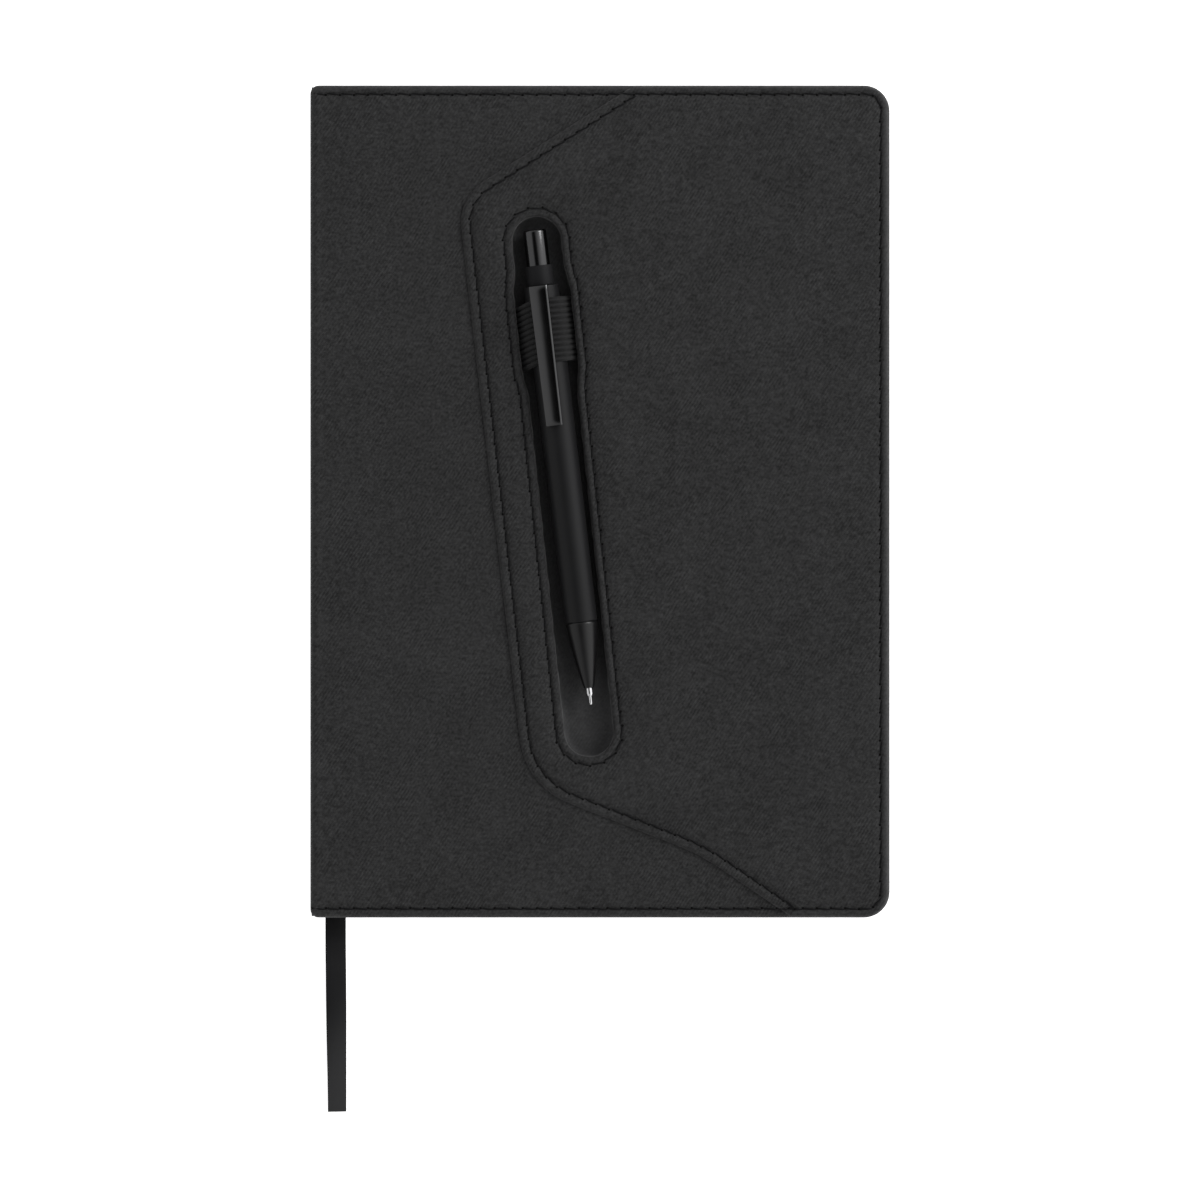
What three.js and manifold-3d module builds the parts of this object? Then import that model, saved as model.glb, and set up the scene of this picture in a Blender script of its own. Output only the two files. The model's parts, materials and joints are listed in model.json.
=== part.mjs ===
// A padded cloth notebook with a pen that lies in a slot in its front cover.
// Millimetres. X runs from the spine to the fore edge, Y to the head of the page, Z up.
// The origin is the middle of the closed book, on the surface that it lies on.
import * as THREE from "three";
import { mergeVertices } from "three/addons/utils/BufferGeometryUtils.js";
import Module from "manifold-3d";

const wasm = await Module();
wasm.setup();

// ---- Driving dimensions ----

const COVER_WIDTH = 147;
const COVER_LENGTH = 211.2;
const SPINE_CORNER = 2.1;
const FORE_CORNER = 6.5;
const CLOTH = 0.6;
const BOARD = 2.0;
const CARD = 0.5;
const PAPER = 0.2;
const GAP = 0.05;

// Heights, from the table up.
const BACK_BOARD_Z = CLOTH + GAP;
const BACK_TOP = BACK_BOARD_Z + BOARD + 0.3;
const BACK_FLYLEAF_Z = 3.05;
const SIGNATURE_Z = 3.3;
const SIGNATURE_HEIGHT = 0.8;
const SIGNATURE_PITCH = 0.9;
const SIGNATURES_BELOW = 5;
const SIGNATURES_ABOVE = 5;
const RIBBON_Z = 7.925;
const UPPER_SIGNATURE_Z = 8.15;
const FRONT_FLYLEAF_Z = 12.65;
const FRONT_PASTEDOWN_Z = 12.9;
const FRONT_CLOTH_Z = 13.15;
const LINER_Z = 13.2;
const FRONT_BOARD_Z = 13.8;
const PADDING_Z = 15.9;
const PADDING = 2.6;
const FRONT_CLOTH_TOP = 19.15;
const PANEL_Z = 19.25;
const PANEL = 1.0;
const PANEL_TOP = PANEL_Z + PANEL;

const PAGE_LEFT = -70.5;
const PAGE_RIGHT = 70.5;
const PAGE_HALF_LENGTH = 102.6;
const PAGE_CORNER = 6;
const TURN_IN = 14;

// The raised panel's edge, as [x, y, corner radius], from the head edge round to the tail edge.
const SEAM = [
  [8.7, 105.6, 0],
  [-36.1, 77.1, 12.5],
  [-19.0, -72.2, 20],
  [25.3, -89.5, 60],
  [48.8, -105.6, 0],
];
const PANEL_MARGIN = 0.35;
const SEAM_STITCH = 2.45;

// Edge stitching: how far in from the cover's edge, and the thread itself.
const EDGE_STITCH = 2.2;
const EDGE_STITCH_RADIUS = 4.2;
const SLOT_STITCH = 1.95;
const THREAD_WIDTH = 0.6;
const THREAD_HEIGHT = 0.28;
const GROOVE_WIDTH = 1.0;
const CLOTH_GROOVE = 0.33;
const PANEL_GROOVE = 0.45;

// The pen's slot: a long pill, a little wider where the elastic crosses it.
const SLOT_FOOT = [-2.77, -58.5];
const SLOT_HEAD = [-16.07, 66.1];
const SLOT_RADIUS = 6.3;
const SLOT_BULGE = 1.0;
const BULGE_AT = 102.6;
const BULGE_HALF_FLAT = 9;
const BULGE_EASE = 8;
const LINING = 0.35;
const LINING_FLOOR = 0.4;
const SLOT_CLEARANCE = 0.1;

// The pen: its tip, the way it points, and its stations measured from the tip.
const PEN_TIP = [-2.26, -51.58, 18.9];
const PEN_TURN = THREE.MathUtils.degToRad(6.83);
const FERRULE_START = 2.3;
const NOSE_START = 4.3;
const NOSE_END = 21;
const BARREL_START = 21.15;
const BARREL_END = 107;
const BARREL_RADIUS = 4.4;
const BARREL_BORE = 3.1;
const COLLAR_END = 112.2;
const PEN_LENGTH = 121.3;
const CLIP_START = 71.4;
const CLIP_THICKNESS = 0.7;
const CLIP_HEIGHT = 5.15;
const CLIP_ROLL = THREE.MathUtils.degToRad(-8.4);

// The elastic band, measured along and across the slot.
const ELASTIC_START = 87.4;
const ELASTIC_END = 103.8;
const ELASTIC = 0.6;
const ELASTIC_HALF_WIDTH = 7.05;

const RIBBON_X = -67.3;
const RIBBON_WIDTH = 5.2;
const RIBBON_THICKNESS = 0.25;
const RIBBON_HEAD = 101.5;
const RIBBON_TAIL = -155.5;
const RIBBON_LEAVES = -109;
const RIBBON_UPPER_BEND = 16;
const RIBBON_LOWER_BEND = 30;
const RIBBON_LYING_Z = 0.33;

// ---- Materials ----

function material(colour, roughness, metalness = 0) {
  return new THREE.MeshStandardMaterial({ color: colour, roughness, metalness });
}

const MATERIALS = {
  cloth: material(0x2f3033, 0.95),
  lining: material(0x1b1c1e, 0.95),
  foam: material(0x3a3b3d, 0.9),
  board: material(0x8d8271, 0.9),
  card: material(0xa89c87, 0.9),
  endpaper: material(0x26272a, 0.85),
  paper: material(0xeae4d3, 0.85),
  gauze: material(0xd8d2c2, 0.95),
  band: material(0x232426, 0.85),
  thread: material(0x111214, 0.8),
  ribbon: material(0x26262a, 0.45),
  elastic: material(0x18191b, 0.85),
  barrel: material(0x1d1e20, 0.38),
  collar: material(0x2c2d30, 0.55),
  gunmetal: material(0x6a6d72, 0.28, 1),
  silver: material(0xc9ccd0, 0.25, 1),
  steel: material(0x9fa3a8, 0.35, 1),
  brass: material(0xb08d4a, 0.35, 1),
  cam: material(0xd9dadc, 0.5),
};

// ---- Solids: geometry in, joined and cut with manifold-3d, geometry out ----

function solid(geometry) {
  const bare = geometry.index ? geometry.toNonIndexed() : geometry.clone();
  bare.deleteAttribute("normal");
  bare.deleteAttribute("uv");
  const merged = mergeVertices(bare, 1e-4);
  return new wasm.Manifold(
    new wasm.Mesh({
      numProp: 3,
      vertProperties: merged.attributes.position.array,
      triVerts: new Uint32Array(merged.index.array),
    }),
  );
}

function geometryOf(body) {
  const mesh = body.getMesh();
  const geometry = new THREE.BufferGeometry();
  geometry.setAttribute("position", new THREE.BufferAttribute(mesh.vertProperties, 3));
  geometry.setIndex(new THREE.BufferAttribute(mesh.triVerts, 1));
  geometry.computeVertexNormals();
  return geometry;
}

// ---- Outlines ----

function roundedRect(left, right, halfLength, leftRadius, rightRadius) {
  const shape = new THREE.Shape();
  shape.absarc(right - rightRadius, halfLength - rightRadius, rightRadius, 0, Math.PI / 2);
  shape.absarc(left + leftRadius, halfLength - leftRadius, leftRadius, Math.PI / 2, Math.PI);
  shape.absarc(left + leftRadius, leftRadius - halfLength, leftRadius, Math.PI, 1.5 * Math.PI);
  shape.absarc(right - rightRadius, rightRadius - halfLength, rightRadius, 1.5 * Math.PI, 2 * Math.PI);
  shape.closePath();
  return shape;
}

// The cover's outline, drawn in by inset all round.
function coverOutline(inset) {
  const half = COVER_WIDTH / 2 - inset;
  const spineRadius = Math.max(SPINE_CORNER - inset, 0.4);
  const foreRadius = Math.max(FORE_CORNER - inset, 0.4);
  return roundedRect(-half, half, COVER_LENGTH / 2 - inset, spineRadius, foreRadius);
}

function pageOutline(inset) {
  const halfLength = PAGE_HALF_LENGTH - inset;
  return roundedRect(PAGE_LEFT, PAGE_RIGHT - inset, halfLength, 0.3, PAGE_CORNER - inset);
}

// A flat piece standing on z0, with its top and bottom edges rounded off by bevel.
function plate(outline, z0, z1, bevel = 0, steps = 2) {
  const geometry = new THREE.ExtrudeGeometry(outline, {
    depth: z1 - z0 - 2 * bevel,
    bevelEnabled: bevel > 0,
    bevelThickness: bevel,
    bevelSize: bevel,
    bevelOffset: -bevel,
    bevelSegments: steps,
    curveSegments: 6,
  });
  return geometry.translate(0, 0, z0 + bevel);
}

// Where a line, given by a point and a direction, crosses the height y.
function atHeight(line, y) {
  return line.at.clone().addScaledVector(line.along, (y - line.at.y) / line.along.y);
}

function crossing(first, second) {
  const gap = second.at.clone().sub(first.at);
  const share = gap.cross(second.along) / first.along.cross(second.along);
  return first.at.clone().addScaledVector(first.along, share);
}

// The points of a polyline whose inner corners are rounded to the given radii.
function rounded(corners, radii, steps = 8) {
  const points = [corners[0].clone()];
  for (let i = 1; i < corners.length - 1; i += 1) {
    const before = corners[i - 1].clone().sub(corners[i]).normalize();
    const after = corners[i + 1].clone().sub(corners[i]).normalize();
    const half = Math.acos(before.dot(after)) / 2;
    const bisector = before.clone().add(after).normalize();
    const centre = corners[i].clone().addScaledVector(bisector, radii[i] / Math.sin(half));
    const start = corners[i].clone().addScaledVector(before, radii[i] / Math.tan(half));
    const sweep = (Math.PI - 2 * half) * Math.sign(after.cross(before));
    for (let k = 0; k <= steps; k += 1) {
      points.push(start.clone().rotateAround(centre, (sweep * k) / steps));
    }
  }
  points.push(corners[corners.length - 1].clone());
  return points;
}

// The panel's edge moved into the panel by inset, cut off at the heights topY and bottomY.
function seamPoints(inset, topY, bottomY) {
  const lines = [];
  for (let i = 0; i + 1 < SEAM.length; i += 1) {
    const from = new THREE.Vector2(SEAM[i][0], SEAM[i][1]);
    const along = new THREE.Vector2(SEAM[i + 1][0], SEAM[i + 1][1]).sub(from).normalize();
    const inward = new THREE.Vector2(-along.y, along.x);
    lines.push({ at: from.addScaledVector(inward, inset), along });
  }
  const corners = [atHeight(lines[0], topY)];
  const radii = [0];
  for (let i = 1; i < lines.length; i += 1) {
    const turn = Math.sign(lines[i - 1].along.cross(lines[i].along));
    corners.push(crossing(lines[i - 1], lines[i]));
    radii.push(SEAM[i][2] - turn * inset);
  }
  corners.push(atHeight(lines[lines.length - 1], bottomY));
  return rounded(corners, radii);
}

// The panel's outline: the seam on its left, and the cover's own edge everywhere else.
function panelOutline(inset) {
  const right = COVER_WIDTH / 2 - inset;
  const top = COVER_LENGTH / 2 - inset;
  const radius = FORE_CORNER - inset;
  const shape = new THREE.Shape(seamPoints(inset, top, -top));
  shape.absarc(right - radius, radius - top, radius, 1.5 * Math.PI, 2 * Math.PI);
  shape.absarc(right - radius, top - radius, radius, 0, Math.PI / 2);
  shape.closePath();
  return shape;
}

// The slot's outline, wider than the visible opening by grow all round.
function slotPoints(grow) {
  const foot = new THREE.Vector2(...SLOT_FOOT);
  const axis = new THREE.Vector2(...SLOT_HEAD).sub(foot);
  const length = axis.length();
  const turn = axis.angle() - Math.PI / 2;
  const bulgeStart = BULGE_AT - BULGE_HALF_FLAT - BULGE_EASE;
  const bulgeSpan = 2 * (BULGE_HALF_FLAT + BULGE_EASE);
  const bulgeSteps = 12;
  const side = [];
  for (let i = 0; i <= bulgeSteps; i += 1) {
    const y = bulgeStart + (bulgeSpan * i) / bulgeSteps;
    const near = Math.abs(y - BULGE_AT) - BULGE_HALF_FLAT;
    const swell = 1 - THREE.MathUtils.smoothstep(near, 0, BULGE_EASE);
    side.push(new THREE.Vector2(SLOT_RADIUS + grow + SLOT_BULGE * swell, y));
  }
  const endSteps = 12;
  const points = [];
  for (let i = 0; i <= endSteps; i += 1) {
    const angle = Math.PI + (Math.PI * i) / endSteps;
    const radius = SLOT_RADIUS + grow;
    points.push(new THREE.Vector2(radius * Math.cos(angle), radius * Math.sin(angle)));
  }
  side.forEach((p) => points.push(p.clone()));
  for (let i = 0; i <= endSteps; i += 1) {
    const angle = (Math.PI * i) / endSteps;
    const radius = SLOT_RADIUS + grow;
    points.push(new THREE.Vector2(radius * Math.cos(angle), length + radius * Math.sin(angle)));
  }
  side.reverse().forEach((p) => points.push(new THREE.Vector2(-p.x, p.y)));
  const origin = new THREE.Vector2();
  return points.map((p) => p.rotateAround(origin, turn).add(foot));
}

function slotCutter(grow, z0, z1) {
  return solid(plate(new THREE.Shape(slotPoints(grow)), z0, z1));
}

// A strip of the given width along a line of points.
function strip(points, width) {
  const left = [];
  const right = [];
  points.forEach((point, i) => {
    const before = points[Math.max(i - 1, 0)];
    const after = points[Math.min(i + 1, points.length - 1)];
    const along = after.clone().sub(before).normalize();
    const across = new THREE.Vector2(-along.y, along.x).multiplyScalar(width / 2);
    left.push(point.clone().add(across));
    right.push(point.clone().sub(across));
  });
  return new THREE.Shape(left.concat(right.reverse()));
}

// The line of the edge stitching: along the head, down the fore edge and back along the tail.
function edgeStitchPoints() {
  const left = -COVER_WIDTH / 2 + EDGE_STITCH;
  const right = COVER_WIDTH / 2 - EDGE_STITCH;
  const top = COVER_LENGTH / 2 - EDGE_STITCH;
  const corners = [
    new THREE.Vector2(left, top),
    new THREE.Vector2(right, top),
    new THREE.Vector2(right, -top),
    new THREE.Vector2(left, -top),
  ];
  return rounded(corners, [0, EDGE_STITCH_RADIUS, EDGE_STITCH_RADIUS, 0], 6);
}

function slotStitchRing(width, z0, z1) {
  const outer = slotCutter(SLOT_STITCH + width / 2, z0, z1);
  const inner = slotCutter(SLOT_STITCH - width / 2, z0 - 1, z1 + 1);
  return outer.subtract(inner);
}

function seamStitchPoints() {
  const end = COVER_LENGTH / 2 - EDGE_STITCH - GROOVE_WIDTH;
  return seamPoints(SEAM_STITCH, end, -end);
}

// ---- The covers ----

const book = new THREE.Group();

function add(name, geometry, look, parent = book) {
  const mesh = new THREE.Mesh(geometry, look);
  mesh.name = name;
  parent.add(mesh);
}

// A board's cloth: wrapped round its edges and turned in on the inside of the cover.
function wrappedCloth(z0, z1, insideZ, outsideZ, turnInZ0, turnInZ1) {
  const whole = solid(plate(coverOutline(0), z0, z1, 1.1, 3));
  const hollow = solid(plate(coverOutline(CLOTH), insideZ, outsideZ));
  const window = solid(plate(coverOutline(TURN_IN), turnInZ0, turnInZ1));
  return whole.subtract(hollow).subtract(window);
}

function backCover() {
  const cloth = wrappedCloth(0, BACK_TOP, CLOTH, BACK_TOP - 0.25, BACK_TOP - 0.5, BACK_TOP + 1);
  const groove = solid(plate(strip(edgeStitchPoints(), GROOVE_WIDTH), -1, CLOTH_GROOVE));
  add("back_cloth", geometryOf(cloth.subtract(groove)), MATERIALS.cloth);
  const thread = plate(strip(edgeStitchPoints(), THREAD_WIDTH), 0.03, 0.03 + THREAD_HEIGHT);
  add("back_edge_thread", thread, MATERIALS.thread);
  const board = plate(coverOutline(CLOTH + GAP), BACK_BOARD_Z, BACK_BOARD_Z + BOARD);
  add("back_board", board, MATERIALS.board);
  const pastedown = plate(coverOutline(TURN_IN + 0.3), BACK_TOP - 0.22, BACK_TOP - 0.02);
  add("back_pastedown", pastedown, MATERIALS.endpaper);
}

function frontCloth() {
  const boardTop = PADDING_Z + PADDING + GAP;
  const inside = FRONT_CLOTH_Z + CLOTH;
  const cloth = wrappedCloth(FRONT_CLOTH_Z, FRONT_CLOTH_TOP, inside, boardTop, FRONT_CLOTH_Z - 1, inside + 1);
  const floor = FRONT_CLOTH_TOP - CLOTH_GROOVE;
  const groove = solid(plate(strip(edgeStitchPoints(), GROOVE_WIDTH), floor, FRONT_CLOTH_TOP + 1));
  const slot = slotCutter(LINING + SLOT_CLEARANCE, boardTop - 1, FRONT_CLOTH_TOP + 1);
  return cloth.subtract(groove).subtract(slot);
}

function frontPanel() {
  const whole = solid(plate(panelOutline(PANEL_MARGIN), PANEL_Z, PANEL_TOP, 0.3));
  const floor = PANEL_TOP - PANEL_GROOVE;
  const above = PANEL_TOP + 1;
  const edgeGroove = solid(plate(strip(edgeStitchPoints(), GROOVE_WIDTH), floor, above));
  const seamGroove = solid(plate(strip(seamStitchPoints(), GROOVE_WIDTH), floor, above));
  const slotGroove = slotStitchRing(GROOVE_WIDTH, floor, above);
  const slot = slotCutter(LINING + SLOT_CLEARANCE, PANEL_Z - 1, above);
  return whole.subtract(edgeGroove).subtract(seamGroove).subtract(slotGroove).subtract(slot);
}

// The edge thread lies low on the bare cloth and climbs on to the panel where the panel starts.
function edgeThread() {
  const low = FRONT_CLOTH_TOP - CLOTH_GROOVE + 0.03;
  const high = PANEL_TOP - PANEL_GROOVE + 0.1;
  const line = strip(edgeStitchPoints(), THREAD_WIDTH);
  const near = solid(plate(panelOutline(-0.2), 0, 30));
  const far = solid(plate(panelOutline(-1.2), 0, 30));
  const lower = solid(plate(line, low, low + THREAD_HEIGHT)).subtract(near);
  const upper = solid(plate(line, high, high + THREAD_HEIGHT)).intersect(far);
  const rise = solid(plate(line, low, high + THREAD_HEIGHT)).intersect(far).subtract(near);
  return lower.add(rise).add(upper);
}

function slotLining() {
  const cup = slotCutter(LINING, FRONT_BOARD_Z, PANEL_TOP - 0.15);
  return cup.subtract(slotCutter(0, FRONT_BOARD_Z + LINING_FLOOR, PANEL_TOP + 1));
}

function frontCover() {
  const slotGrow = LINING + SLOT_CLEARANCE;
  add("front_cloth", geometryOf(frontCloth()), MATERIALS.cloth);
  const board = solid(plate(coverOutline(CLOTH + GAP), FRONT_BOARD_Z, FRONT_BOARD_Z + BOARD));
  const boardSlot = slotCutter(slotGrow, FRONT_BOARD_Z - 1, FRONT_BOARD_Z + BOARD + 1);
  add("front_board", geometryOf(board.subtract(boardSlot)), MATERIALS.board);
  const padding = solid(plate(coverOutline(CLOTH + GAP), PADDING_Z, PADDING_Z + PADDING, 0.5));
  const paddingSlot = slotCutter(slotGrow, PADDING_Z - 1, PADDING_Z + PADDING + 1);
  add("front_padding", geometryOf(padding.subtract(paddingSlot)), MATERIALS.foam);
  add("front_panel", geometryOf(frontPanel()), MATERIALS.cloth);
  add("slot_lining", geometryOf(slotLining()), MATERIALS.lining);
  const liner = plate(coverOutline(TURN_IN + 0.3), LINER_Z, LINER_Z + CARD);
  add("liner_card", liner, MATERIALS.card);
  add("edge_thread", geometryOf(edgeThread()), MATERIALS.thread);
  const threadZ = PANEL_TOP - PANEL_GROOVE + 0.1;
  const seamThread = plate(strip(seamStitchPoints(), THREAD_WIDTH), threadZ, threadZ + THREAD_HEIGHT);
  add("panel_thread", seamThread, MATERIALS.thread);
  const slotThread = slotStitchRing(THREAD_WIDTH, threadZ, threadZ + THREAD_HEIGHT);
  add("slot_thread", geometryOf(slotThread), MATERIALS.thread);
  const pastedown = plate(coverOutline(1.5), FRONT_PASTEDOWN_Z, FRONT_PASTEDOWN_Z + PAPER);
  add("front_pastedown", pastedown, MATERIALS.endpaper);
}

// ---- The pages ----

// A folded section of leaves: its back is round, where the sheets are folded.
function signature(z) {
  const radius = SIGNATURE_HEIGHT / 2;
  const profile = new THREE.Shape();
  profile.moveTo(PAGE_RIGHT, z + SIGNATURE_HEIGHT);
  profile.absarc(PAGE_LEFT + radius, z + radius, radius, Math.PI / 2, 1.5 * Math.PI);
  profile.lineTo(PAGE_RIGHT, z);
  profile.closePath();
  const options = { depth: 2 * PAGE_HALF_LENGTH, bevelEnabled: false, curveSegments: 6 };
  const folded = new THREE.ExtrudeGeometry(profile, options);
  folded.rotateX(Math.PI / 2).translate(0, PAGE_HALF_LENGTH, 0);
  const trimmed = plate(pageOutline(0), z - 1, z + SIGNATURE_HEIGHT + 1);
  return geometryOf(solid(folded).intersect(solid(trimmed)));
}

function signatureName(number) {
  return `signature_${String(number).padStart(2, "0")}`;
}

function pages() {
  const sheetZ1 = BACK_FLYLEAF_Z + 0.15;
  add("back_flyleaf", plate(pageOutline(0), BACK_FLYLEAF_Z, sheetZ1), MATERIALS.endpaper);
  for (let i = 0; i < SIGNATURES_BELOW; i += 1) {
    const name = signatureName(SIGNATURES_ABOVE + SIGNATURES_BELOW - i);
    add(name, signature(SIGNATURE_Z + i * SIGNATURE_PITCH), MATERIALS.paper);
  }
  for (let i = 0; i < SIGNATURES_ABOVE; i += 1) {
    const name = signatureName(SIGNATURES_ABOVE - i);
    add(name, signature(UPPER_SIGNATURE_Z + i * SIGNATURE_PITCH), MATERIALS.paper);
  }
  const flyleaf = plate(pageOutline(0), FRONT_FLYLEAF_Z, FRONT_FLYLEAF_Z + 0.15);
  add("front_flyleaf", flyleaf, MATERIALS.endpaper);
}

// ---- The spine ----

const SPINE_OUTSIDE = -COVER_WIDTH / 2;
const SPINE_INSIDE = -71.9;
const SPINE_Z0 = 3.3;
const SPINE_Z1 = 12.3;
const BLOCK_TOP = 12.2;

function box(x0, x1, y0, y1, z0, z1) {
  const geometry = new THREE.BoxGeometry(x1 - x0, y1 - y0, z1 - z0);
  return geometry.translate((x0 + x1) / 2, (y0 + y1) / 2, (z0 + z1) / 2);
}

function spine() {
  const half = COVER_LENGTH / 2;
  const wall = solid(box(SPINE_OUTSIDE, SPINE_INSIDE, -half, half, SPINE_Z0, SPINE_Z1));
  const boardX = SPINE_OUTSIDE + CLOTH + GAP;
  const boardEnd = half - CLOTH - GAP;
  const pocket = solid(
    box(boardX - GAP, SPINE_INSIDE + 1, CLOTH - half, half - CLOTH, SPINE_Z0 - 1, SPINE_Z1 + 1),
  );
  add("spine_cloth", geometryOf(wall.subtract(pocket)), MATERIALS.cloth);
  const boardX1 = boardX + 0.8;
  const board = box(boardX, boardX1, -boardEnd, boardEnd, SPINE_Z0 + 0.1, SPINE_Z1 - 0.1);
  add("spine_board", board, MATERIALS.card);
}

// A woven band at one end of the pages' back, standing up the whole thickness of the block.
function endBand(y) {
  const section = new THREE.Shape();
  section.absellipse(-71.15, y, 0.45, 1.3, 0, 2 * Math.PI);
  return plate(section, SPINE_Z0, BLOCK_TOP);
}

function blockBack() {
  const half = PAGE_HALF_LENGTH - 4;
  const lining = box(-70.9, PAGE_LEFT - 0.1, -half, half, SPINE_Z0 - 0.1, BLOCK_TOP);
  add("block_lining", lining, MATERIALS.gauze);
  add("head_band", endBand(PAGE_HALF_LENGTH - 1.4), MATERIALS.band);
  add("tail_band", endBand(1.4 - PAGE_HALF_LENGTH), MATERIALS.band);
}

// ---- The ribbon ----

// It lies between the pages, leaves at the tail, bends down in two arcs and lies on the table.
function ribbon() {
  const drop = RIBBON_Z - RIBBON_LYING_Z;
  const bends = RIBBON_UPPER_BEND + RIBBON_LOWER_BEND;
  const angle = Math.acos(1 - drop / bends);
  const lyingY = RIBBON_LEAVES - bends * Math.sin(angle);
  const steps = 6;
  const points = [new THREE.Vector2(RIBBON_HEAD, RIBBON_Z)];
  for (let i = 0; i <= steps; i += 1) {
    const a = (angle * i) / steps;
    const y = RIBBON_LEAVES - RIBBON_UPPER_BEND * Math.sin(a);
    points.push(new THREE.Vector2(y, RIBBON_Z - RIBBON_UPPER_BEND * (1 - Math.cos(a))));
  }
  for (let i = steps - 1; i >= 0; i -= 1) {
    const a = (angle * i) / steps;
    const y = lyingY + RIBBON_LOWER_BEND * Math.sin(a);
    points.push(new THREE.Vector2(y, RIBBON_LYING_Z + RIBBON_LOWER_BEND * (1 - Math.cos(a))));
  }
  points.push(new THREE.Vector2(RIBBON_TAIL, RIBBON_LYING_Z));
  const options = { depth: RIBBON_WIDTH, bevelEnabled: false };
  const lying = new THREE.ExtrudeGeometry(strip(points, RIBBON_THICKNESS), options);
  const turn = new THREE.Matrix4().set(0, 0, 1, 0, 1, 0, 0, 0, 0, 1, 0, 0, 0, 0, 0, 1);
  lying.applyMatrix4(turn).translate(RIBBON_X - RIBBON_WIDTH / 2, 0, 0);
  add("ribbon_bookmark", lying, MATERIALS.ribbon);
}

// ---- The elastic ----

// One side of the band's section: down from the top of the barrel and along the slot's wall.
function elasticSide(centre, wall, thickness, side) {
  const radius = BARREL_RADIUS + 0.1 + thickness;
  const leave = THREE.MathUtils.degToRad(30);
  const points = [];
  for (let i = 0; i <= 6; i += 1) {
    const a = Math.PI / 2 - ((Math.PI / 2 - leave) * i) / 6;
    const x = centre.x + side * radius * Math.cos(a);
    points.push(new THREE.Vector2(x, centre.y + radius * Math.sin(a)));
  }
  const end = points[points.length - 1];
  const reach = (side * wall - end.x) * side;
  points.push(new THREE.Vector2(side * wall, end.y - reach / Math.tan(leave)));
  points.push(new THREE.Vector2(side * wall, FRONT_BOARD_Z + LINING_FLOOR + 0.2));
  return points;
}

function elasticLoop() {
  const foot = new THREE.Vector2(...SLOT_FOOT);
  const axis = new THREE.Vector2(...SLOT_HEAD).sub(foot);
  const turn = axis.angle() - Math.PI / 2;
  const middle = (ELASTIC_START + ELASTIC_END) / 2;
  const along = new THREE.Vector2(-Math.sin(PEN_TURN), Math.cos(PEN_TURN));
  const crossedAt = new THREE.Vector2(PEN_TIP[0], PEN_TIP[1]).addScaledVector(along, middle);
  const origin = new THREE.Vector2();
  const local = crossedAt.clone().sub(foot).rotateAround(origin, -turn);
  const centre = new THREE.Vector2(local.x, PEN_TIP[2]);
  const wall = ELASTIC_HALF_WIDTH;
  const outer = elasticSide(centre, wall, ELASTIC, -1).reverse();
  outer.push(...elasticSide(centre, wall, ELASTIC, 1).slice(1));
  const inner = elasticSide(centre, wall - ELASTIC, 0, 1).reverse();
  inner.push(...elasticSide(centre, wall - ELASTIC, 0, -1).slice(1));
  const length = ELASTIC_END - ELASTIC_START;
  const options = { depth: length, bevelEnabled: false };
  const band = new THREE.ExtrudeGeometry(new THREE.Shape(outer.concat(inner)), options);
  band.rotateX(Math.PI / 2).translate(0, local.y + length / 2, 0);
  band.rotateZ(turn).translate(foot.x, foot.y, 0);
  add("elastic_loop", band, MATERIALS.elastic);
}

// ---- The pen, along +Y from its tip ----

const pen = new THREE.Group();
pen.position.set(...PEN_TIP);
pen.rotation.z = PEN_TURN;
book.add(pen);

// A turned piece: its section as [radius, station] points, closed on itself or on the axis.
function turned(section, sides = 24) {
  return new THREE.LatheGeometry(section.map(([r, s]) => new THREE.Vector2(r, s)), sides);
}

function penBarrel() {
  const section = [
    [BARREL_BORE, BARREL_START],
    [3.95, BARREL_START],
    [4.1, BARREL_START + 0.3],
    [4.25, 45],
    [4.35, 75],
    [BARREL_RADIUS, BARREL_END - 0.5],
    [4.2, BARREL_END],
    [BARREL_BORE, BARREL_END],
    [BARREL_BORE, BARREL_START],
  ];
  const notch = box(-1.95, 1.95, 104.4, BARREL_END + 1, 3.25, 6).rotateY(CLIP_ROLL);
  return geometryOf(solid(turned(section, 32)).subtract(solid(notch)));
}

function penNose() {
  return turned([
    [0.85, NOSE_START],
    [1.3, NOSE_START],
    [2.0, 7],
    [2.9, 12],
    [3.65, 17],
    [4.0, NOSE_END - 0.3],
    [3.9, NOSE_END],
    [2.85, NOSE_END],
    [2.85, 28],
    [1.75, 28],
    [1.75, 9],
    [0.85, 8.4],
    [0.85, NOSE_START],
  ], 32);
}

function penFerrule() {
  return turned([
    [0.6, FERRULE_START],
    [0.8, FERRULE_START],
    [0.9, FERRULE_START + 0.2],
    [0.9, NOSE_START - 0.1],
    [0.77, NOSE_START - 0.1],
    [0.77, 8],
    [0.6, 8],
    [0.6, FERRULE_START],
  ], 16);
}

function penCollar() {
  return turned([
    [2.3, 105.2],
    [2.9, 105.2],
    [2.9, BARREL_END + 0.15],
    [3.35, BARREL_END + 0.15],
    [3.35, COLLAR_END - 0.15],
    [3.25, COLLAR_END],
    [3.08, COLLAR_END],
    [3.08, 108],
    [2.3, 108],
    [2.3, 105.2],
  ]);
}

function penButton() {
  return turned([
    [0, 102.3],
    [2.05, 102.3],
    [2.05, 109],
    [2.95, 109],
    [2.95, PEN_LENGTH - 1.1],
    [2.7, PEN_LENGTH - 0.4],
    [2.2, PEN_LENGTH],
    [0, PEN_LENGTH],
  ]);
}

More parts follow.
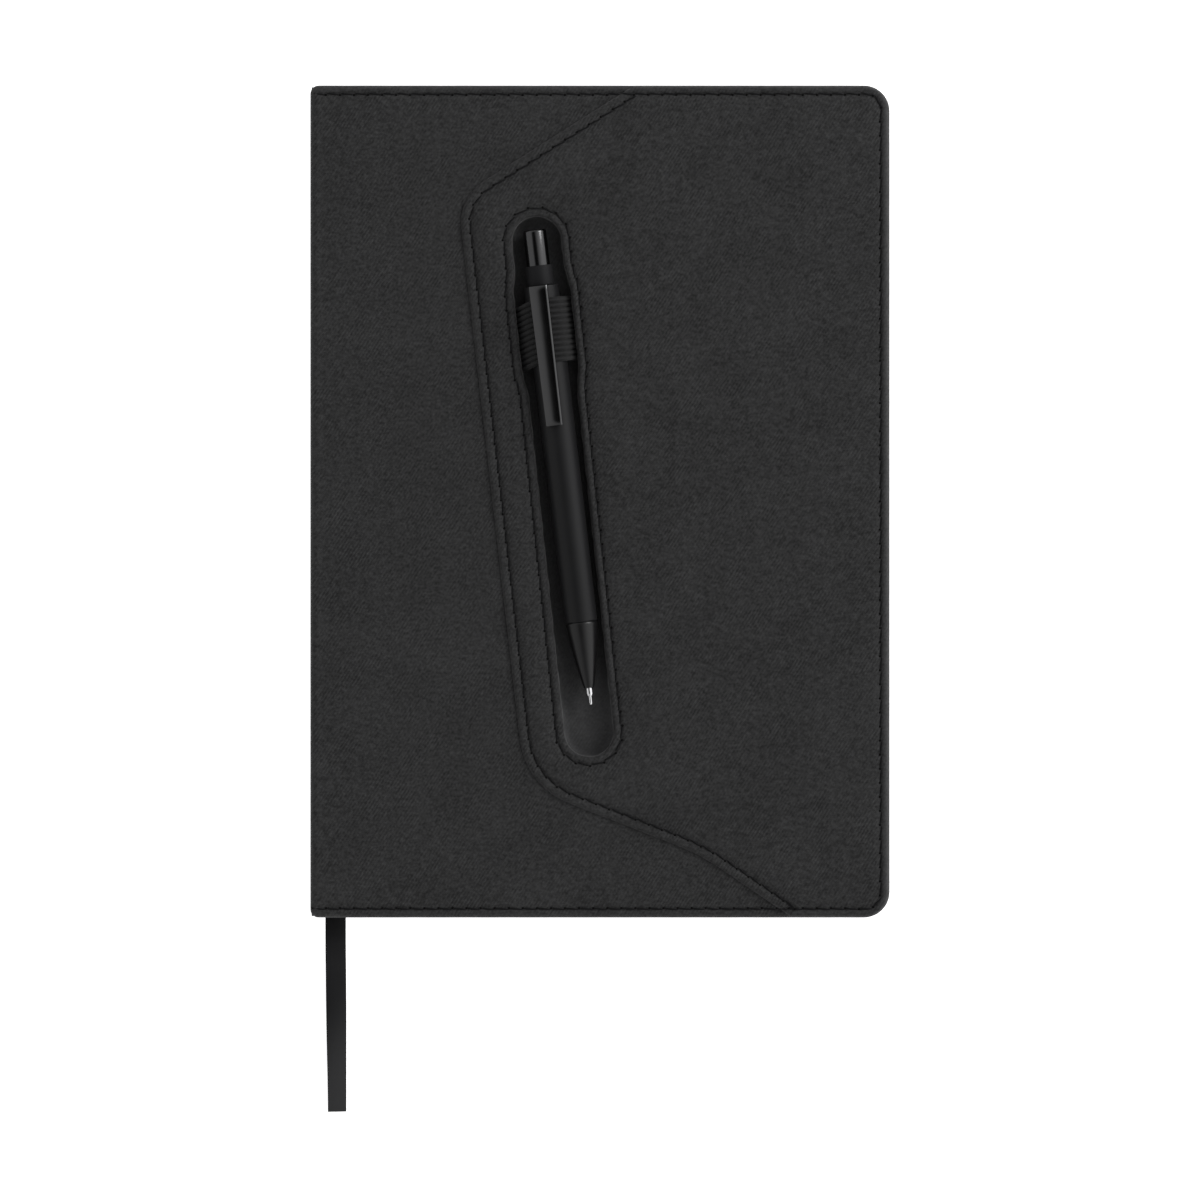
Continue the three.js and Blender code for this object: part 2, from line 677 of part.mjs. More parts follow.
// The clip: a plain tapered bar, a foot let into the barrel, and a lip that rests on it. The pen lies
// rolled a little, so that its clip is left of the top.
function penClip() {
  const bar = new THREE.Shape();
  bar.moveTo(-2.15, CLIP_START);
  bar.lineTo(2.15, CLIP_START);
  bar.lineTo(2.4, BARREL_END);
  bar.lineTo(-2.4, BARREL_END);
  bar.closePath();
  const top = CLIP_HEIGHT + CLIP_THICKNESS;
  const plateTop = solid(plate(bar, CLIP_HEIGHT, top, 0.12, 1));
  const foot = solid(box(-1.65, 1.65, 104.8, 106.6, 3.6, CLIP_HEIGHT + 0.3));
  const lip = solid(box(-1.9, 1.9, CLIP_START + 0.15, CLIP_START + 1.2, 4.5, CLIP_HEIGHT + 0.3));
  return geometryOf(plateTop.add(foot).add(lip)).rotateY(CLIP_ROLL);
}

// The ring that turns at each click: six teeth round a drum.
function penCam() {
  const drum = solid(turned([[0, 96.1], [2.3, 96.1], [2.3, 102], [0, 102]]));
  const teeth = 6;
  let cam = drum;
  for (let i = 0; i < teeth; i += 1) {
    const tooth = box(1.8, 2.8, -0.4, 0.4, 97, 100.5).rotateX(-Math.PI / 2);
    tooth.rotateY((2 * Math.PI * i) / teeth);
    cam = cam.add(solid(tooth));
  }
  return geometryOf(cam);
}

function refillTip() {
  return turned([
    [0, 0],
    [0.2, 0.05],
    [0.5, 1.2],
    [0.5, 9.6],
    [1.05, 10.2],
    [1.05, 12],
    [0, 12],
  ], 16);
}

function refillTube() {
  return turned([
    [0, 12.1],
    [1.1, 12.1],
    [1.1, 26],
    [1.5, 26],
    [1.5, 26.8],
    [1.1, 26.8],
    [1.1, 95.9],
    [0, 95.9],
  ], 16);
}

class Helix extends THREE.Curve {
  constructor(radius, start, end, turns) {
    super();
    this.shape = { radius, start, end, turns };
  }

  getPoint(t, target = new THREE.Vector3()) {
    const { radius, start, end, turns } = this.shape;
    const angle = 2 * Math.PI * turns * t;
    const y = start + (end - start) * t;
    return target.set(radius * Math.cos(angle), y, radius * Math.sin(angle));
  }
}

function penSpring() {
  const wire = new THREE.Shape();
  wire.absarc(0, 0, 0.16, 0, 2 * Math.PI);
  const turns = 9;
  return new THREE.ExtrudeGeometry(wire, {
    extrudePath: new Helix(1.44, 9.5, 25.6, turns),
    steps: turns * 12,
    curveSegments: 3,
    bevelEnabled: false,
  });
}

function penParts() {
  add("pen_barrel", penBarrel(), MATERIALS.barrel, pen);
  add("pen_nose", penNose(), MATERIALS.barrel, pen);
  add("pen_ferrule", penFerrule(), MATERIALS.silver, pen);
  add("pen_collar", penCollar(), MATERIALS.collar, pen);
  add("pen_clip", penClip(), MATERIALS.gunmetal, pen);
  add("pen_spring", penSpring(), MATERIALS.steel, pen);
  add("pen_button", penButton(), MATERIALS.gunmetal, pen);
  add("pen_cam", penCam(), MATERIALS.cam, pen);
  add("refill_tube", refillTube(), MATERIALS.brass, pen);
  add("refill_tip", refillTip(), MATERIALS.silver, pen);
}

backCover();
frontCover();
pages();
spine();
blockBack();
ribbon();
elasticLoop();
penParts();

export default book;
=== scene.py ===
"""A padded cloth notebook with a pen in its front cover, laid out as an add-on and run as a script."""
import json
import math

import bmesh
import bpy
import numpy as np
from bpy.props import FloatProperty, FloatVectorProperty, IntProperty, PointerProperty
from mathutils import Matrix, Vector, geometry
from mathutils.kdtree import KDTree


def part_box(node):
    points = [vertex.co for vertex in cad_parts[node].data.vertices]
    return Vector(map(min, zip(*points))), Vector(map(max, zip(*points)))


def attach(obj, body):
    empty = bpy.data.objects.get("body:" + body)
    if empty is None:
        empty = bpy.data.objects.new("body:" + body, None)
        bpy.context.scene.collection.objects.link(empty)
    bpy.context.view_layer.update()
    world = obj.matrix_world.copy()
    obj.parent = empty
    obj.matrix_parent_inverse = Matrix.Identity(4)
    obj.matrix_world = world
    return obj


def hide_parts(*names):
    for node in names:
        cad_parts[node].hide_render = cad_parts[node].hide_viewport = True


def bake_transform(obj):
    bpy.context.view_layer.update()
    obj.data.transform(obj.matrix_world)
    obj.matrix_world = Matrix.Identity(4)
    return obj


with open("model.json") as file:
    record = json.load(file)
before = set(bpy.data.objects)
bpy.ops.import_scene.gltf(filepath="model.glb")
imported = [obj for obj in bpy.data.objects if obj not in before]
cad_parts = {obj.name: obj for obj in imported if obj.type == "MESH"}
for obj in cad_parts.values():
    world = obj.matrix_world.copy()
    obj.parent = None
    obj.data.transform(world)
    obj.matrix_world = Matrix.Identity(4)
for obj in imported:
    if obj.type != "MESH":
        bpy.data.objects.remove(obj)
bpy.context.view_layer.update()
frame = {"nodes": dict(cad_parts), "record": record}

bl_info = {
    "name": "Padded notebook with pen",
    "version": (1, 0, 0),
    "blender": (4, 5, 0),
    "location": "View3D > Sidebar > Notebook",
    "description": "Makes a padded cloth notebook with stitched panel, pen slot, pen and ribbon",
    "category": "Object",
}

MM = 0.001

# ---- Places, in metres, taken from the frame where it gives them ----

CLOTH_LOW, CLOTH_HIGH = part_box("front_cloth")
PANEL_LOW, PANEL_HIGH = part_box("front_panel")
BACK_LOW, BACK_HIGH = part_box("back_cloth")
SPINE_LOW, SPINE_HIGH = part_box("spine_cloth")
LINING_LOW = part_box("slot_lining")[0]
PAGE_LOW, PAGE_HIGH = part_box("signature_01")

SPINE_CORNER = 2.1 * MM
FORE_CORNER = 6.5 * MM
TURN_IN = 14 * MM
TURNED_CLOTH = 0.55 * MM
CLOTH_HOLE_CLEAR = 0.45 * MM
PANEL_HOLE_CLEAR = 0.06 * MM
# A lighter line along the hinge, this far in from the spine edge and this wide: painted light where the
# rounded hinge catches the light.
HINGE_LIGHT_AT = 2.55 * MM
HINGE_LIGHT_WIDTH = 0.6 * MM
EDGE_STITCH = 2.2 * MM
SEAM_STITCH = 2.45 * MM
SLOT_STITCH = 1.95 * MM
PAGE_CORNER = 6 * MM

# The raised panel's edge from head to tail, as each corner's place and its radius, in millimetres.
SEAM = (
    (8.7 + 105.6j, 0.4),
    (-36.1 + 77.1j, 12.5),
    (-19.0 - 72.2j, 20),
    (25.3 - 89.5j, 60),
    (48.8 - 105.6j, 0.4),
)

SLOT_FOOT = (-2.77 - 58.5j) * MM
SLOT_HEAD = (-16.07 + 66.1j) * MM
SLOT_RADIUS = 6.3 * MM
SLOT_BULGE = 1.0 * MM
SLOT_FLOOR_RISE = 0.9 * MM
BULGE_AT = 102.6 * MM
BULGE_HALF_FLAT = 9 * MM
BULGE_EASE = 8 * MM
SLOT_AXIS = (SLOT_HEAD - SLOT_FOOT) / abs(SLOT_HEAD - SLOT_FOOT)
SLOT_LENGTH = abs(SLOT_HEAD - SLOT_FOOT)

PEN_TIP = Vector((-2.26 * MM, -51.58 * MM, 18.9 * MM))
PEN_TURN = math.radians(6.83)
CLIP_ROLL = math.radians(-8.4)
BARREL_RADIUS = 4.4 * MM
ELASTIC_START = 87.4 * MM
ELASTIC_END = 103.8 * MM
ELASTIC_WALL = 7.05 * MM
CLIP_RIGHT_SLOPE = 2
CLIP_LEFT_SLOPE = -17
# In millimetres: places from the pen's tip, the half width at the clip's tip, how much wider its root
# is, and the length over which its ends are eased.
CLIP_STATIONS = (71.4, 71.55, 71.9, 73.0, 80.0, 90.0, 100.0, 105.5, 106.6, 106.9, 107.0)
CLIP_HALF_TIP = 2.15
CLIP_HALF_GAIN = 0.25
CLIP_EASED_END = 0.5

RIBBON_X = -67.3 * MM
RIBBON_TOP_Z = 7.925 * MM
RIBBON_LYING_Z = 0.33 * MM
RIBBON_LEAVES = -109 * MM
RIBBON_UPPER_BEND = 16 * MM
RIBBON_LOWER_BEND = 30 * MM
RIBBON_HEAD_Y = 101.5 * MM
RIBBON_TAIL_Y = -155.5 * MM

ARC_STEPS = 12

LEAF_FINE_COLUMNS = 9 * MM

FLOOR_HALF_WIDTH = 3.0
FLOOR_GAP = 0.4 * MM
KEY_PLACE = (0.75, 0.55, 0.55)


# ---- Settings ----

def colour(name, description, default):
    """A colour setting."""
    return FloatVectorProperty(
        name=name, description=description, default=default, subtype="COLOR", size=3, min=0, max=1
    )


def length(name, description, default):
    """A size setting, in metres."""
    return FloatProperty(name=name, description=description, default=default, unit="LENGTH", precision=5)


class NotebookCoverSettings(bpy.types.PropertyGroup):
    cloth: colour("Cloth", "Colour of the cover cloth", (0.0236, 0.0236, 0.0240))
    # Lighter than the cover cloth: painted light that makes up for the dark patch overhead in the deep slot.
    lit_lining: colour("Lining", "Colour of the cloth inside the slot", (0.044, 0.044, 0.045))
    weave: length("Weave", "Distance between the ribs of the twill", 0.76 * MM)
    grain: length("Row spacing", "Distance between points along the edges and seams", 0.75 * MM)
    edge_roll: length("Edge roll", "Radius of the padded edge of the cover", 1.7 * MM)
    panel_roll: length("Panel roll", "Radius of the turned edge of the raised panel", 0.95 * MM)
    slot_roll: length("Slot roll", "Radius of the turned edge of the slot", 0.8 * MM)
    puff: length("Puff", "Height that the padding swells away from the stitching", 0.45 * MM)
    seam_depth: length("Seam depth", "Depth that the stitching pulls the cloth down", 0.42 * MM)


class NotebookStitchSettings(bpy.types.PropertyGroup):
    pitch: length("Pitch", "Distance from one stitch to the next", 3.56 * MM)
    stitch: length("Stitch length", "Length of thread that shows in each stitch", 3.1 * MM)
    thickness: length("Thread", "Thickness of the thread", 0.38 * MM)
    # The needle hole shows as a near-black dot: painted shade in the hole.
    hole: length("Needle hole", "Width of the needle hole between two stitches", 0.62 * MM)
    slant: FloatProperty(
        name="Slant", description="How far each stitch turns out of its line",
        default=math.radians(7), subtype="ANGLE",
    )
    thread: colour("Thread colour", "Colour of the sewing thread", (0.006, 0.006, 0.0064))


class NotebookElasticSettings(bpy.types.PropertyGroup):
    ribs: IntProperty(name="Ribs", description="Number of woven ribs across the band", default=12, min=2)
    thickness: length("Thickness", "Thickness of the elastic between its ribs", 0.45 * MM)
    rib_height: length("Rib height", "Height of each rib", 0.5 * MM)
    slump: FloatProperty(
        name="Slump", description="Slope of the ribs on the side that the pen drags down",
        default=math.radians(17), subtype="ANGLE",
    )
    elastic: colour("Elastic colour", "Colour of the elastic", (0.0082, 0.0082, 0.0086))


class NotebookPenSettings(bpy.types.PropertyGroup):
    paint: colour("Paint", "Colour of the barrel and the nose", (0.0075, 0.0075, 0.008))
    collar: colour("Collar", "Colour of the collar under the button", (0.008, 0.008, 0.0088))
    gunmetal: colour("Gunmetal", "Colour of the clip and the button", (0.058, 0.058, 0.059))
    silver: colour("Silver", "Colour of the ferrule and the writing tip", (0.62, 0.62, 0.63))
    sides: IntProperty(name="Sides", description="Sides of each turned piece", default=72, min=12)


class NotebookPageSettings(bpy.types.PropertyGroup):
    leaves: IntProperty(name="Leaves", description="Leaves in each folded section", default=8, min=2)
    leaf: length("Leaf", "Thickness of one leaf", 0.085 * MM)
    stray: length("Stray", "How far a leaf may stand out of the stack", 0.12 * MM)
    paper: colour("Paper", "Colour of the pages", (0.80, 0.75, 0.63))
    endpaper: colour("Endpaper", "Colour of the papers inside the covers", (0.02, 0.02, 0.021))


class NotebookRibbonSettings(bpy.types.PropertyGroup):
    width: length("Width", "Width of the ribbon", 5.2 * MM)
    thickness: length("Thickness", "Thickness of the ribbon", 0.25 * MM)
    twist: FloatProperty(
        name="Twist", description="How far the loose end turns on its edge",
        default=math.radians(26), subtype="ANGLE",
    )
    silk: colour("Silk", "Colour of the ribbon", (0.0045, 0.0045, 0.0052))


class NotebookStageSettings(bpy.types.PropertyGroup):
    floor: colour("Floor", "Colour of the floor", (0.93, 0.93, 0.93))
    height: length("Camera height", "Height of the camera above the cover", 3.5)
    view_width: length("View width", "Width of the view at the cover", 0.3045)
    view_y: length("View centre", "Where the middle of the view lies along the book", -25.0 * MM)
    sky: FloatProperty(name="Sky", description="Strength of the light from all round", default=1.0, min=0)
    dark_lean: FloatProperty(
        name="Dark patch", description="How far the dark patch overhead lies to the left",
        default=math.radians(12), subtype="ANGLE",
    )
    key: FloatProperty(name="Key", description="Strength of the side light in watts", default=5.0, min=0)


# ---- Outlines, as closed loops of complex numbers ----

def eased(share):
    """A share from 0 to 1 that starts and ends gently."""
    return share * share * (3 - 2 * share)


def bend(corner, before, after, radius, steps=ARC_STEPS):
    """The points of an arc that rounds off a corner."""
    start_way = (before - corner) / abs(before - corner)
    end_way = (after - corner) / abs(after - corner)
    cosine = (start_way * end_way.conjugate()).real
    half = math.acos(max(-1.0, min(1.0, cosine))) / 2
    middle = (start_way + end_way) / abs(start_way + end_way)
    centre = corner + middle * radius / math.sin(half)
    start = corner + start_way * radius / math.tan(half)
    turn = math.copysign(math.pi - 2 * half, (end_way.conjugate() * start_way).imag)
    sweep = np.exp(1j * turn * np.arange(steps + 1) / steps)
    return centre + (start - centre) * sweep


def joined(stretches, counts, closed):
    """Stretches of points joined by straight runs, each cut into its count of steps."""
    line = []
    for i, stretch in enumerate(stretches):
        line.extend(stretch)
        if i + 1 < len(stretches) or closed:
            goal = stretches[(i + 1) % len(stretches)][0]
            shares = np.arange(1, counts[i]) / counts[i]
            line.extend(stretch[-1] + (goal - stretch[-1]) * shares)
    return np.array(line)


def rounded(corners, radii, counts, closed=True):
    """A polyline with its corners rounded off."""
    stretches = []
    last = len(corners) - 1
    for i, corner in enumerate(corners):
        if not closed and i in (0, last):
            stretches.append(np.array([corner]))
        else:
            stretches.append(bend(corner, corners[i - 1], corners[(i + 1) % len(corners)], radii[i]))
    return joined(stretches, counts, closed)


def cover_loop(inset=0.0, step=1.0 * MM):
    """The outline of a cover, drawn in by inset."""
    x = CLOTH_HIGH.x - inset
    y = CLOTH_HIGH.y - inset
    spine = max(SPINE_CORNER - inset, 0.4 * MM)
    fore = max(FORE_CORNER - inset, 0.5 * MM)
    long_steps = round(2 * CLOTH_HIGH.y / step)
    short_steps = round(2 * CLOTH_HIGH.x / step)
    corners = [complex(x, y), complex(-x, y), complex(-x, -y), complex(x, -y)]
    counts = [short_steps, long_steps, short_steps, long_steps]
    return rounded(corners, [fore, spine, spine, fore], counts)


def meeting(at_a, way_a, at_b, way_b):
    """Where two lines cross."""
    gap = at_b - at_a
    share = (gap.conjugate() * way_b).imag / (way_a.conjugate() * way_b).imag
    return at_a + way_a * share


def seam_corners(inset, end_y):
    """The seam's corners moved into the panel by inset, and their radii; it ends at the heights +-end_y."""
    points = [p * MM for p, _ in SEAM]
    ways = [(b - a) / abs(b - a) for a, b in zip(points, points[1:])]
    starts = [p + 1j * way * inset for p, way in zip(points, ways)]
    corners = [meeting(starts[0], ways[0], 1j * end_y, 1)]
    radii = [SEAM[0][1] * MM]
    for i in range(1, len(ways)):
        corners.append(meeting(starts[i - 1], ways[i - 1], starts[i], ways[i]))
        turn = math.copysign(1, (ways[i - 1].conjugate() * ways[i]).imag)
        radii.append(SEAM[i][1] * MM - turn * inset)
    corners.append(meeting(starts[-1], ways[-1], -1j * end_y, 1))
    radii.append(SEAM[-1][1] * MM)
    return corners, radii


def panel_loop(inset=0.0, step=1.0 * MM):
    """The outline of the raised panel, drawn in by inset."""
    margin = 0.3 * MM + inset
    x = CLOTH_HIGH.x - margin
    y = CLOTH_HIGH.y - margin
    corners, radii = seam_corners(inset, y)
    whole, _ = seam_corners(0, CLOTH_HIGH.y)
    fore = max(FORE_CORNER - margin, 0.5 * MM)
    corners += [complex(x, -y), complex(x, y)]
    radii += [fore, fore]
    whole += [complex(CLOTH_HIGH.x, -CLOTH_HIGH.y), complex(CLOTH_HIGH.x, CLOTH_HIGH.y)]
    spans = [abs(b - a) for a, b in zip(whole, whole[1:] + whole[:1])]
    return rounded(corners, radii, [max(2, round(span / step)) for span in spans])


def slot_radius(station):
    """Half the slot's width at a distance along its axis: it swells where the elastic crosses."""
    near = np.clip((np.abs(station - BULGE_AT) - BULGE_HALF_FLAT) / BULGE_EASE, 0, 1)
    return SLOT_RADIUS + SLOT_BULGE * (1 - eased(near))


def slot_loop(grow=0.0, step=1.0 * MM):
    """The slot's outline, grown by grow."""
    ends = round(math.pi * SLOT_RADIUS / step) + 4
    sides = round(SLOT_LENGTH / step)
    turn = np.pi * np.arange(ends + 1) / ends
    station = SLOT_LENGTH * np.arange(1, sides) / sides
    half = slot_radius(station) + grow
    foot = -(SLOT_RADIUS + grow) * np.exp(1j * turn)
    head = (SLOT_RADIUS + grow) * np.exp(1j * turn) + 1j * SLOT_LENGTH
    right = half + 1j * station
    left = (-half + 1j * station)[::-1]
    local = np.concatenate([foot, right, head, left])
    return SLOT_FOOT + local * SLOT_AXIS / 1j


def closed_line(loop):
    """A loop with its first point again at its end."""
    return np.append(loop, loop[0])


def edge_line(step=0.5 * MM):
    """The line of the edge stitching: along the head, the fore edge and the tail."""
    x = CLOTH_HIGH.x - EDGE_STITCH
    y = CLOTH_HIGH.y - EDGE_STITCH
    corners = [complex(-x, y), complex(x, y), complex(x, -y), complex(-x, -y)]
    radius = FORE_CORNER - EDGE_STITCH
    counts = [round(2 * x / step), round(2 * y / step), round(2 * x / step)]
    return rounded(corners, [0, radius, radius, 0], counts, closed=False)


def seam_line(step=0.5 * MM):
    """The line of the stitching along the panel's edge."""
    end = CLOTH_HIGH.y - EDGE_STITCH - 1.2 * MM
    corners, radii = seam_corners(SEAM_STITCH, end)
    spans = [abs(b - a) for a, b in zip(corners, corners[1:])]
    return rounded(corners, radii, [round(span / step) for span in spans], closed=False)


def slot_line(step=0.5 * MM):
    """The line of the stitching round the slot, closed on itself."""
    return closed_line(slot_loop(SLOT_STITCH, step))


class Trail:
    """A line of points that tells how far away it is, and how far along it the nearest point lies."""

    def __init__(self, line):
        steps = np.abs(np.diff(line))
        stations = np.concatenate([[0], np.cumsum(steps)])
        self.stations = np.linspace(0, stations[-1], max(2, int(stations[-1] / (0.1 * MM))))
        x = np.interp(self.stations, stations, line.real)
        y = np.interp(self.stations, stations, line.imag)
        self.tree = KDTree(len(x))
        for i, (px, py) in enumerate(zip(x, y)):
            self.tree.insert((px, py, 0), i)
        self.tree.balance()

    def near(self, points):
        """The distance from each point to the line, and the station of the nearest place on it."""
        found = [self.tree.find((p.real, p.imag, 0)) for p in points]
        return np.array([f[2] for f in found]), self.stations[[f[1] for f in found]]


def inside(points, loop):
    """Which points lie inside a closed loop."""
    result = np.zeros(len(points), bool)
    x = points.real
    y = points.imag
    for a, b in zip(loop, np.roll(loop, -1)):
        if a.imag != b.imag:
            spans = (a.imag > y) != (b.imag > y)
            cut = a.real + (y - a.imag) * (b.real - a.real) / (b.imag - a.imag)
            result ^= spans & (x < cut)
    return result


# ---- Meshes ----

def tiled(rings, outer, holes, spacing):
    """Triangles over the area inside outer and outside holes, with points on the rings and on a grid."""
    edges = []
    points = []
    for ring in rings:
        first = len(points)
        points.extend(ring)
        edges.extend((first + i, first + (i + 1) % len(ring)) for i in range(len(ring)))
    if spacing:
        trail = Trail(np.concatenate([closed_line(ring) for ring in rings]))
        low_x, high_x = outer.real.min(), outer.real.max()
        low_y, high_y = outer.imag.min(), outer.imag.max()
        rows = np.arange(low_y, high_y, spacing * 0.866)
        grid = []
        for i, y in enumerate(rows):
            grid.append(np.arange(low_x + (i % 2) * spacing / 2, high_x, spacing) + 1j * y)
        grid = np.concatenate(grid)
        keep = inside(grid, outer)
        for hole in holes:
            keep &= ~inside(grid, hole)
        grid = grid[keep]
        grid = grid[trail.near(grid)[0] > 0.6 * spacing]
        points.extend(grid)
    flat = [Vector((p.real, p.imag)) for p in points]
    found, _, faces, *_ = geometry.delaunay_2d_cdt(flat, edges, [], 0, 1e-9)
    verts = np.array([complex(v.x, v.y) for v in found])
    faces = np.array(faces)
    middles = verts[faces].mean(1)
    keep = inside(middles, outer)
    for hole in holes:
        keep &= ~inside(middles, hole)
    return verts, faces[keep]


def linked(name, data):
    """A new object of some data, in the scene."""
    made = bpy.data.objects.new(name, data)
    bpy.context.scene.collection.objects.link(made)
    return made


def new_mesh(name, verts, faces, wear_and_painted_light=None):
    """A mesh from points and faces, with each point's wear and painted light if that is given."""
    mesh = bpy.data.meshes.new(name)
    mesh.from_pydata(verts, [], faces)
    if wear_and_painted_light is not None:
        attribute = mesh.attributes.new("wear_and_painted_light", "FLOAT", "POINT")
        attribute.data.foreach_set("value", np.array(wear_and_painted_light, np.float32))
    return mesh


def ring_faces(rings, count, capped=False):
    """Quads between successive rings of count points each, and the two end faces if capped."""
    faces = []
    for a in range(0, (rings - 1) * count, count):
        for i in range(count):
            j = (i + 1) % count
            faces.append((a + i, a + j, a + count + j, a + count + i))
    if capped:
        faces.append(tuple(range(count)))
        faces.append(tuple((rings - 1) * count + i for i in range(count)))
    return faces


class Shell:
    """Vertices and faces gathered piece by piece, then welded into one closed mesh."""

    def __init__(self):
        self.verts = []
        self.faces = []
        self.wear_and_painted_light = []

    def add(self, verts, faces, wear_and_painted_light=None):
        """Adds faces over verts, an array of places."""
        first = len(self.verts)
        self.verts.extend(map(tuple, verts))
        self.faces.extend(tuple(int(i) + first for i in face) for face in faces)
        self.wear_and_painted_light.extend(np.zeros(len(verts)) if wear_and_painted_light is None else wear_and_painted_light)

    def flat(self, verts, faces, z, wear_and_painted_light=None):
        """Adds a tiling at the height or heights z."""
        heights = np.broadcast_to(z, len(verts))
        self.add(np.column_stack([verts.real, verts.imag, heights]), faces, wear_and_painted_light)

    def wall(self, loops, wear_and_painted_light=0.0):
        """Joins closed loops of equal length, each given as its points and its heights."""
        count = len(loops[0][0])
        places = [np.column_stack([p.real, p.imag, np.broadcast_to(z, count)]) for p, z in loops]
        faces = ring_faces(len(loops), count)
        self.add(np.concatenate(places), faces, np.full(count * len(loops), wear_and_painted_light))

    def build(self, name, material):
        """Makes the object: welded, facing outwards and shaded smooth."""
        return finish_mesh(name, new_mesh(name, self.verts, self.faces, self.wear_and_painted_light), material)


def finish_mesh(name, mesh, material, weld=1e-6, sharp=math.radians(55)):
    """Welds a mesh, turns its faces outwards, shades it smooth and links its object."""
    work = bmesh.new()
    work.from_mesh(mesh)
    bmesh.ops.remove_doubles(work, verts=work.verts, dist=weld)
    bmesh.ops.dissolve_degenerate(work, edges=work.edges, dist=1e-8)
    bmesh.ops.recalc_face_normals(work, faces=work.faces)
    work.to_mesh(mesh)
    work.free()
    mesh.shade_smooth()
    mesh.set_sharp_from_angle(angle=sharp)
    mesh.materials.clear()
    mesh.materials.append(material)
    return linked(name, mesh)


def place(made, body, slot, *nodes):
    """Puts a finished piece on its body, in place of its CAD nodes; slot is not used."""
    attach(made, body)
    if nodes:
        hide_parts(*nodes)
    return made


def turned(name, section, material, sides, matrix):
    """A turned piece: its section is a closed line of (radius, station) about the local Y axis."""
    verts = []
    for radius, station in section:
        for i in range(sides):
            angle = 2 * math.pi * i / sides
            at = Vector((radius * math.cos(angle), station, radius * math.sin(angle)))
            verts.append(matrix @ at)
    faces = ring_faces(len(section), sides)
    return finish_mesh(name, new_mesh(name, verts, faces), material, 1e-7, math.radians(30))


def smooth_section(points, radii, steps=4):
    """A section's corners rounded off: points are (radius, station) in millimetres."""
    line = []
    last = len(points) - 1
    for i, (r, s) in enumerate(points):
        if i in (0, last) or not radii[i]:
            line.append((r * MM, s * MM))
            continue
        before = complex(*points[i - 1])
        after = complex(*points[i + 1])
        for p in bend(complex(r, s), before, after, radii[i], steps):
            line.append((p.real * MM, p.imag * MM))
    return line


# ---- Materials ----

def feed(links, socket, value):
    """Links a socket to another one, or sets its value; a colour may be given without alpha."""
    if isinstance(value, bpy.types.NodeSocket):
        links.new(value, socket)
    elif socket.type == "RGBA" and len(value) == 3:
        socket.default_value = (*value, 1)
    else:
        socket.default_value = value


def add_node(tree, kind, inputs=(), **settings):
    """Adds a node, sets its properties, and sets or links its inputs by name or number."""
    made = tree.nodes.new(kind)
    for key, value in settings.items():
        setattr(made, key, value)
    for key, value in dict(inputs).items():
        feed(tree.links, made.inputs[key], value)
    return made


class Recipe:
    """A material's node tree, with short ways to add its nodes."""

    def __init__(self, name):
        self.material = bpy.data.materials.new(name)
        self.material.use_nodes = True
        self.tree = self.material.node_tree
        self.shader = self.tree.nodes["Principled BSDF"]
        self.place = self.node("ShaderNodeTexCoord").outputs["Object"]

    def node(self, kind, inputs=(), **settings):
        return add_node(self.tree, kind, inputs, **settings)

    def maths(self, operation, a, b=0.0):
        made = self.node("ShaderNodeMath", {0: a, 1: b}, operation=operation)
        return made.outputs[0]

    def weighted(self, *terms):
        """The sum of values, each times its weight."""
        parts = [self.maths("MULTIPLY", value, weight) for value, weight in terms]
        total = parts[0]
        for part in parts[1:]:
            total = self.maths("ADD", total, part)
        return total

    def wear_and_painted_light(self):
        """The mesh's wear and painted light: worn edges of the cloth, painted light along the fore edge and
        the hinge, painted shade in the elastic's gaps, and the ribbon's darker selvedges.
        """
        return self.node("ShaderNodeAttribute", attribute_name="wear_and_painted_light").outputs["Fac"]

    def noise(self, size, detail=2.0, roughness=0.5):
        """Noise whose blots are about size across, from 0 to 1."""
        made = self.node(
            "ShaderNodeTexNoise",
            {"Vector": self.place, "Scale": 1 / size, "Detail": detail, "Roughness": roughness},
        )
        return made.outputs["Fac"]

    def ribs(self, pitch, turn=(0, 0, 0), distortion=0.0):
        """Straight ribs across the local X axis after a turn, from 0 to 1."""
        turned_place = self.node("ShaderNodeMapping", {"Vector": self.place, "Rotation": turn})
        made = self.node(
            "ShaderNodeTexWave",
            {"Vector": turned_place.outputs[0], "Scale": math.pi / 10 / pitch, "Distortion": distortion},
            wave_type="BANDS", bands_direction="X",
        )
        return made.outputs["Fac"]

    def blend(self, share, a, b):
        """A colour between a and b."""
        return self.node("ShaderNodeMix", {0: share, 6: a, 7: b}, data_type="RGBA").outputs[2]

    def span(self, value, low, high):
        """A value from 0 to 1, spread from low to high."""
        made = self.node("ShaderNodeMapRange", {"Value": value, "To Min": low, "To Max": high})
        return made.outputs[0]

    def bump(self, height, strength, distance):
        made = self.node("ShaderNodeBump", {"Height": height, "Strength": strength, "Distance": distance})
        feed(self.tree.links, self.shader.inputs["Normal"], made.outputs[0])

    def set(self, **values):
        """Sets or links the shader's own sockets, named with underscores for spaces."""
        for key, value in values.items():
            feed(self.tree.links, self.shader.inputs[key.replace("_", " ")], value)


def shade(base, factor):
    return tuple(min(1.0, c * factor) for c in base)


